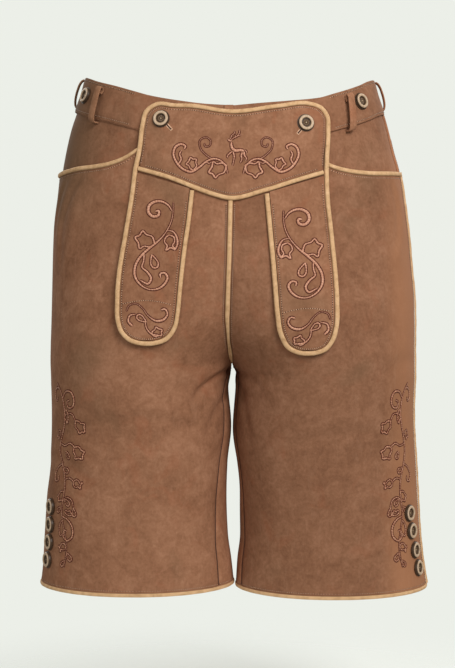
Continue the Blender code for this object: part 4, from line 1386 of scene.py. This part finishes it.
def sew_half(side):
    """All rows of one half: its tab, its front and back, and its waistband."""
    name, seam = SIDES[side], SIDE_SEAM[side]
    hem, hem_row = HEM[side], HEM[side] - HEM_EDGE - STITCH_GAP
    beside_piping = degrees_for(side, seam, 0.30, EDGE_WIDTH / 2 + STITCH_GAP)
    mouth_start = turn_at(side, MOUTH_START[side] + 0.001, 0.095)
    front_inner, back_inner = inner_turn(side, hem) + 1.0, back_turn(side, hem) - 1.0
    seam_top = mouth(side, seam) + 0.012
    band_turns = turn_at(side, 0.104, 0.050) + 1.0, BAND_ROW_END

    def centre_row(share, lift):
        across = side * (EDGE_WIDTH / 2 + STITCH_GAP * 0.8) + 0.0 * share
        return front(across, blend(PIPING_TOP + 0.003, PIPING_END - 0.014, share), lift)

    def mouth_row(turn):
        return mouth(side, turn) + EDGE_WIDTH + STITCH_GAP

    def band_row(row):
        return skin_row(side, band_turns, lambda turn: waist_line(side, turn)
                        + row * BAND_HEIGHT, BAND_ROW_LIFT)

    show_stitches("tab_" + name, [
        flap_row(tab_lines[side], -side * beside_edge, 0.03, 0.96), tab_cross(side)],
        tabs[side])
    front_seam, back_seam = seam - beside_piping, seam + beside_piping
    show_stitches("front_" + name, [
        skin_row(side, (mouth_start, front_seam), mouth_row),
        skin_row(side, (front_seam, front_seam), (seam_top, hem_row - 0.003)),
        centre_row,
        skin_row(side, (front_inner, seam - 2.5), (hem_row, hem_row))],
        legs[side]["front"])
    show_stitches("back_" + name, [
        skin_row(side, (seam + 2.5, back_inner), (hem_row, hem_row)),
        skin_row(side, (back_seam, back_seam), (BACK_ROW_TOP[side], hem - 0.012))],
        legs[side]["back"])
    show_stitches("band_" + name, [band_row(row) for row in BAND_ROWS], bands[side])


beside_edge = EDGE_WIDTH + STITCH_GAP
beside_point = EDGE_WIDTH / 2 + STITCH_GAP
show_stitches("bib", [flap_row(bib_line, -beside_edge, 0.02, 0.98),
                      flap_row(point_line, beside_point, 0.03, 0.97)], bib)
for side in (RIGHT, LEFT):
    sew_half(side)


# The embroidery: satin-stitch scrolls, leaves and drops in a pinkish tan thread over
# a dark red-brown edge, sewn on the bib, on both tabs and up the outer side of each
# leg, with a standing stag in the middle of the bib.
SATIN_WIDE = 0.0021
SATIN_HIGH = 0.00070
RIM = 0.00095
RIM_HIGH = 0.00022
SATIN_ROSE = (0.520, 0.225, 0.135)
SATIN_PALE = (0.740, 0.400, 0.265)
LEG_RUST = (0.300, 0.095, 0.048)
LEG_PALE = (0.700, 0.380, 0.240)
RIM_DARK = (0.075, 0.019, 0.010)
RIM_BROWN = (0.150, 0.045, 0.025)
THREADS_TO_METRE = 2400.0
PATH_STEP = 0.0009


def make_satin(name, dark, pale, roughness):
    """Satin-stitch thread: fine threads side by side across the line, by the UV map."""
    made, shader, place = start_material(name, roughness, Specular_IOR_Level=0.2)
    across = place.other("UV").split()
    slant = across.other("Y") * THREADS_TO_METRE + across * 2.0
    rounds = slant.math("SINE", slant)
    tone = place.noise(420.0, 2.0, 0.6) * 0.8 + rounds * 0.10
    tone.ramp((0.25, dark), (0.60, pale)).into(shader, "Base Color")
    rounds.bump(0.5, 0.0002, shader)
    return made


satin = make_satin("satin_thread", SATIN_ROSE, SATIN_PALE, 0.42)
satin_rust = make_satin("satin_rust_thread", LEG_RUST, LEG_PALE, 0.5)
satin_rim = make_satin("satin_rim_thread", RIM_DARK, RIM_BROWN, 0.85)


def smooth_path(points):
    """Evenly spaced points on a smooth curve through the given ones."""
    line = Line(points, 60 * len(points))
    return line.read(np.linspace(0.0, line.length, max(int(line.length / PATH_STEP), 4)))


def ribbon(cells, path, widths, high, put):
    """Adds a raised line along a path. widths are its widths at even places along it,
    and put(points, lift) sets points of the path's plane on the cloth."""
    count = len(path)
    ahead = np.gradient(path, axis=0)
    ahead /= np.maximum(np.linalg.norm(ahead, axis=1, keepdims=True), 1e-9)
    left = np.stack([-ahead[:, 1], ahead[:, 0]], axis=1)
    share = np.linspace(0.0, 1.0, count)
    wide = np.interp(share, np.linspace(0.0, 1.0, len(widths)), widths)
    tip = np.minimum(share, 1.0 - share) * count
    wide = wide * np.sqrt(np.clip((tip + 0.35) / 2.0, 0.1, 1.0))
    steps = np.append(0.0, np.cumsum(np.linalg.norm(np.diff(path, axis=0), axis=1)))
    made = bmesh.ops.create_grid(cells, x_segments=4, y_segments=count - 1, size=0.5)
    layer = cells.verts.layers.float_vector["place"]
    grid = made["verts"]
    u = np.array([vert.co.x + 0.5 for vert in grid])
    row = np.array([round((vert.co.y + 0.5) * (count - 1)) for vert in grid])
    flat = path[row] + left[row] * ((u - 0.5) * wide[row])[:, None]
    arch = np.sqrt(np.clip(1.0 - (2.0 * u - 1.0) ** 2, 0.0, 1.0))
    bulk = np.clip(wide[row] / SATIN_WIDE, 0.45, 1.3)
    tops = put(flat, high * arch * bulk)
    for i, (vert, at) in enumerate(zip(grid, tops)):
        vert.co = at
        vert[layer] = (u[i], steps[row[i]], i)
    faces = list({face for vert in grid for face in vert.link_faces})
    grown = bmesh.ops.extrude_face_region(cells, geom=faces, use_keep_orig=True)
    sunk = put(flat, np.full(len(flat), -0.0003))
    for vert in grown["geom"]:
        if isinstance(vert, bmesh.types.BMVert):
            vert.co = sunk[round(vert[layer].z)]


def new_work():
    """Two empty meshes for one piece of embroidery: the satin and the rim under it."""
    pair = bmesh.new(), bmesh.new()
    for cells in pair:
        cells.verts.layers.float_vector.new("place")
    return pair


def stroke(work, path, widths, put):
    """One line of satin with its dark rim."""
    widths = np.array(widths, float)
    top, under = work
    ribbon(top, path, widths, SATIN_HIGH, put)
    ribbon(under, path, widths + 2 * RIM, RIM_HIGH, put)


def finish_work(name, work, sheet, skins=(satin, satin_rim)):
    """Makes the pieces of one panel's embroidery."""
    for kind, cells, material in zip(("satin", "rim"), work, skins):
        bmesh.ops.recalc_face_normals(cells, faces=cells.faces)
        layer = cells.verts.layers.float_vector["place"]
        uv = cells.loops.layers.uv.new("UVMap")
        for face in cells.faces:
            for loop in face.loops:
                loop[uv].uv = loop.vert[layer][:2]
        sheet["sewn"].append(show(f"{kind}_{name}", cells, [material]))


# The motifs' outlines, drawn with their base at (0, 0) and their tip at (1, 0)
OUTLINES = {
    "leaf": ((0.00, 0.00), (0.18, 0.22), (0.44, 0.30), (0.56, 0.48), (0.74, 0.26), (1.00, 0.04),
             (0.86, -0.10), (0.80, -0.36), (0.58, -0.28), (0.30, -0.30), (0.00, 0.00)),
    "bud": ((0.00, 0.00), (0.18, 0.30), (0.52, 0.30), (0.72, 0.16), (1.00, 0.30), (0.86, 0.00),
            (1.00, -0.30), (0.70, -0.20), (0.44, -0.34), (0.14, -0.24), (0.00, 0.00)),
    "drop": ((0.00, 0.00), (0.35, 0.17), (0.70, 0.26), (0.96, 0.14), (0.96, -0.14),
             (0.70, -0.26), (0.35, -0.17), (0.00, 0.00)),
    "sprig": ((0.00, 0.00), (0.22, 0.24), (0.40, 0.14), (0.58, 0.34), (0.80, 0.18),
              (1.00, 0.12), (0.76, -0.08), (0.44, -0.14), (0.00, 0.00)),
}
MILLI = 0.001


def motif(work, kind, across, down, angle, size, flip, put):
    """A leaf, bud, drop or sprig of a size in millimetres, turned by an angle."""
    turn = math.radians(angle)
    shape = np.array(OUTLINES[kind]) * (1.0, flip) * size * MILLI
    spin = np.array(((math.cos(turn), math.sin(turn)), (-math.sin(turn), math.cos(turn))))
    path = smooth_path(shape @ spin + np.array((across, down)) * MILLI)
    slim = SATIN_WIDE * min(1.0, 0.50 + size / 36.0)
    stroke(work, path, (slim, 0.75 * slim, slim, slim, 0.75 * slim, slim), put)


def embroider(work, vines, motifs, put):
    """Sews vines and motifs on one panel, both set out in millimetres."""
    for points, widths in vines:
        stroke(work, smooth_path(np.array(points) * MILLI), np.array(widths) * MILLI, put)
    for kind, across, down, angle, size, flip in motifs:
        motif(work, kind, across, down, angle, size, flip, put)


# Each panel's work in millimetres: distance outwards from its middle, or round the
# leg from its line, and drop. Vines have widths; motifs have an angle, a size and
# which way round they are.
BIB_MIDDLE = 0.0039
BIB_VINES = (
    (((8, 117), (10.5, 109), (16, 103), (23, 101), (30, 103.5), (38, 110), (46, 114.5),
      (55, 111.5), (62, 104), (65, 95), (62.5, 88), (57, 85.5), (52.5, 88), (54, 91)),
     (1.0, 1.7, 1.9, 2.1, 2.5, 2.4, 2.3, 2.6, 1.9)),
    (((24, 102), (31, 97), (37, 90), (37.5, 82), (31.5, 78.6), (26.5, 82), (27.5, 87.5),
      (32, 88), (33, 84.5)), (1.0, 0.6, 0.6, 0.6)),
    (((31, 104.5), (27.5, 105.8), (25, 104.4)), (1.4, 1.2, 0.8)),
    (((60, 107), (57, 101), (58.5, 96), (56.5, 92)), (1.7, 1.9, 1.5)),
)
BIB_MOTIFS = (("leaf", 9.5, 108, 25, 19.5, -1), ("leaf", 44, 113, -80, 13.5, 1))
TAB_VINES = (
    (((61, 146), (61, 155), (62.5, 165), (67.5, 176), (76, 186.5), (86, 195), (95, 204),
      (100, 214), (100, 224), (94.5, 232.5), (85, 237.5), (76, 236.5), (69, 231),
      (66.5, 224.5), (69.5, 220.5), (74, 221.5), (73.5, 225.5)),
     (0.7, 1.0, 1.2, 1.4, 2.3, 2.6, 2.6, 2.5, 2.0, 1.3, 2.4, 2.4, 1.8)),
    (((62, 155.5), (66, 149.5), (73, 145.5), (80.5, 145.5), (86.5, 150), (87, 156.5),
      (82, 161), (76.5, 159.5), (76, 155.5), (80, 155.5)), (1.2, 2.0, 2.6, 3.2, 3.2, 2.9, 2.4)),
    (((67, 175.5), (61, 177), (57, 183), (56, 190), (59, 197)), (0.9, 1.9, 2.4, 2.0)),
    (((91, 201), (91.5, 209), (93, 214), (87, 220), (83.5, 226.5), (86, 231.5), (95, 228)),
     (1.8, 1.6, 1.9, 2.4, 2.2, 1.4)),
    (((109, 261), (106, 254.5), (99, 252.5), (92.5, 257), (87, 264.5), (79, 269.5), (71, 268),
      (67, 262), (69.5, 257.5), (74, 258.5)), (0.6, 0.6, 0.6, 1.2, 2.6, 2.0, 1.9)),
    (((99, 263), (105.5, 265), (107, 271), (103, 275.5)), (1.2, 1.8, 2.6)),
    (((90, 270), (89, 277), (84, 283), (76, 284.5)), (1.1, 1.6, 2.0)),
)
TAB_MOTIFS = (("leaf", 80, 190.5, -24, 22, 1), ("bud", 65, 180.5, 96, 16, 1),
              ("drop", 83, 201.5, 108, 14.5, 1), ("leaf", 84, 283.5, -160, 12, 1),
              ("drop", 89, 271, -35, 11, 1))
# The left tab's work lies a little nearer the middle and lower than the right one's
TAB_SHIFT = {RIGHT: (0.0, 0.0), LEFT: (-7.5, 8.5)}
LEG_LINE = 136.5
LEG_RISE = 0.006
LEG_VINES = (
    (((25, 344), (17, 351), (10, 362), (7, 376), (9, 391), (14, 404), (16, 418), (12, 432),
      (6, 445), (3, 459), (4, 474), (4, 489), (0, 503), (-4, 517), (-4, 531), (-1, 545)),
     (1.2, 1.8, 1.8, 1.5, 1.5, 1.3, 1.3, 1.0, 0.8)),
    (((11, 361), (4, 353), (-5, 353), (-10, 361), (-7, 369), (0, 370), (2, 364), (-3, 361.5)),
     (1.7, 2.1, 2.2, 1.9, 1.4)),
    (((18, 350), (25, 350), (30, 355), (29, 362), (24, 363.5), (23, 359)), (1.4, 1.8, 1.8, 1.3)),
    (((8, 381), (2, 377), (-6, 377), (-11, 384)), (1.2, 1.4, 1.6)),
    (((15, 410), (7, 412), (-2, 409), (-9, 413)), (1.3, 1.5, 1.6)),
    (((4, 471), (-3, 468), (-10, 471), (-13, 479)), (1.1, 1.4, 1.4)),
    (((12, 432), (20, 437), (25, 445), (22, 452), (17, 450), (18, 445.5)),
     (1.2, 1.7, 1.9, 1.5)),
    (((5, 449), (-3, 447), (-10, 451)), (1.1, 1.4, 1.5)),
    (((4, 489), (-5, 492), (-12, 500), (-12, 510), (-5, 515), (1, 510), (-1, 504), (-5, 505)),
     (1.4, 2.0, 2.1, 2.0, 1.4)),
    (((3, 493), (7, 498), (8, 505), (5, 511), (2, 508)), (1.2, 1.6, 1.6, 1.2)),
)
LEG_MOTIFS = (("leaf", -11, 384, 128, 16, 1), ("sprig", 4, 372, 100, 15, -1),
              ("leaf", -8, 413, 140, 17, -1), ("bud", 17, 396, 60, 10, 1),
              ("drop", 4, 418, 120, 9, 1), ("bud", -9, 451, 165, 12, 1),
              ("leaf", 4, 462, 55, 13, 1), ("drop", 1, 470, 140, 10, 1),
              ("drop", 6, 479, 42, 9, 1), ("sprig", 0, 484, 165, 12, 1),
              ("bud", -3, 520, 30, 11, 1), ("drop", -5, 528, 125, 10, 1),
              ("drop", -2, 537, 50, 8, 1), ("drop", 10, 437, 160, 10, 1),
              ("drop", -13, 479, 100, 9, 1))
# The stag faces the wearer's right: strokes with their widths, x and drop
STAG = (
    (((0.6, 91.0), (3.4, 92.6), (8.0, 92.2), (12.4, 92.8)), (3.6, 3.2, 2.6, 3.2)),
    (((1.0, 92.2), (-0.8, 88.0), (-1.0, 83.6)), (3.4, 2.6, 2.2)),
    (((-0.6, 82.6), (-3.0, 82.0), (-5.2, 80.4)), (2.6, 2.2, 1.4)),
    (((-1.0, 81.4), (1.6, 79.2), (5.0, 77.6), (7.4, 73.6), (7.0, 70.6)), (1.3, 1.1, 0.9)),
    (((-1.8, 80.4), (-0.6, 76.8), (2.2, 74.4), (3.0, 71.6)), (1.2, 1.0, 0.8)),
    (((3.0, 78.4), (4.2, 75.4)), (0.9, 0.8)),
    (((5.6, 77.2), (9.4, 76.0)), (0.9, 0.8)),
    (((0.8, 93.6), (2.0, 99.0), (1.4, 103.6), (0.6, 108.4)), (2.2, 1.5, 1.1, 1.3)),
    (((0.0, 93.4), (-3.0, 95.8), (-5.2, 98.6), (-4.2, 100.6)), (2.0, 1.5, 1.1)),
    (((12.0, 93.6), (12.6, 97.6), (14.6, 100.4), (14.0, 103.6)), (2.8, 1.7, 1.2)),
    (((10.4, 94.4), (9.2, 98.0), (10.0, 101.6), (8.2, 105.6)), (2.4, 1.5, 1.1)),
    (((12.8, 91.6), (14.4, 93.4), (14.8, 95.6)), (1.5, 1.1)),
)


def on_flap(side, middle=0.0, shift=(0.0, 0.0)):
    """Puts distances outwards from a middle and drops on one side of the flap."""
    def put(points, lift):
        moved = points + np.array(shift) * MILLI
        return flap_point(middle + side * moved[:, 0], moved[:, 1], FLAP_LIFT + lift)
    return put


def on_leg(side):
    """Puts distances round the leg from its line, and drops, on the leg."""
    def put(points, lift):
        drop = points[:, 1] - LEG_RISE
        degrees = degrees_for(side, LEG_LINE, drop, 1.0)
        return skin(side, LEG_LINE + degrees * points[:, 0], drop, lift)
    return put


# The bib's buttonholes: x and drop of both ends, and how far the two bars are apart
BUTTONHOLES = {RIGHT: ((-0.0712, 0.0612), (-0.0632, 0.0702)),
               LEFT: ((0.0738, 0.0668), (0.0680, 0.0742))}
BAR_WIDE, BAR_APART = 0.0010, 0.0011


def make_buttonhole(side):
    """A slit, painted dark as the shade in it, with a bar of thread along each side and across
    its end.
    """
    bars, slit = new_work()
    put = on_flap(1.0)
    first, last = np.array(BUTTONHOLES[side])
    path = blend(first, last, np.linspace(0.0, 1.0, 12)[:, None])
    aside = (last - first)[::-1] * (1.0, -1.0) / np.linalg.norm(last - first) * BAR_APART
    across = blend(last - 1.6 * aside, last + 1.6 * aside, np.linspace(0.0, 1.0, 6)[:, None])
    for bar in (path - aside, path + aside, across):
        ribbon(bars, bar, (BAR_WIDE, BAR_WIDE), SATIN_HIGH, put)
    # Painted shade: the slit is a dark strip under the bars.
    ribbon(slit, path, (2.2 * BAR_APART, 2.2 * BAR_APART), RIM_HIGH, put)
    finish_work("buttonhole_" + SIDES[side], (bars, slit), bib, (stitch_skin, hole_shade_skin))


for side in (RIGHT, LEFT):
    make_buttonhole(side)
bib_work = new_work()
for side in (RIGHT, LEFT):
    embroider(bib_work, BIB_VINES, BIB_MOTIFS, on_flap(side, BIB_MIDDLE))
embroider(bib_work, STAG, (), on_flap(1.0))
finish_work("bib", bib_work, bib)
for side in (RIGHT, LEFT):
    work = new_work()
    embroider(work, TAB_VINES, TAB_MOTIFS, on_flap(side, 0.0, TAB_SHIFT[side]))
    finish_work("tab_" + SIDES[side], work, tabs[side])
    work = new_work()
    embroider(work, LEG_VINES, LEG_MOTIFS, on_leg(side))
    finish_work("leg_" + SIDES[side], work, legs[side]["front"], (satin_rust, satin_rim))


# Every cut piece of cloth has its flat size and area measured, once all that is sewn on
# it is made.
for sheet in sheets:
    size, area = flat_cut(sheet["place"])
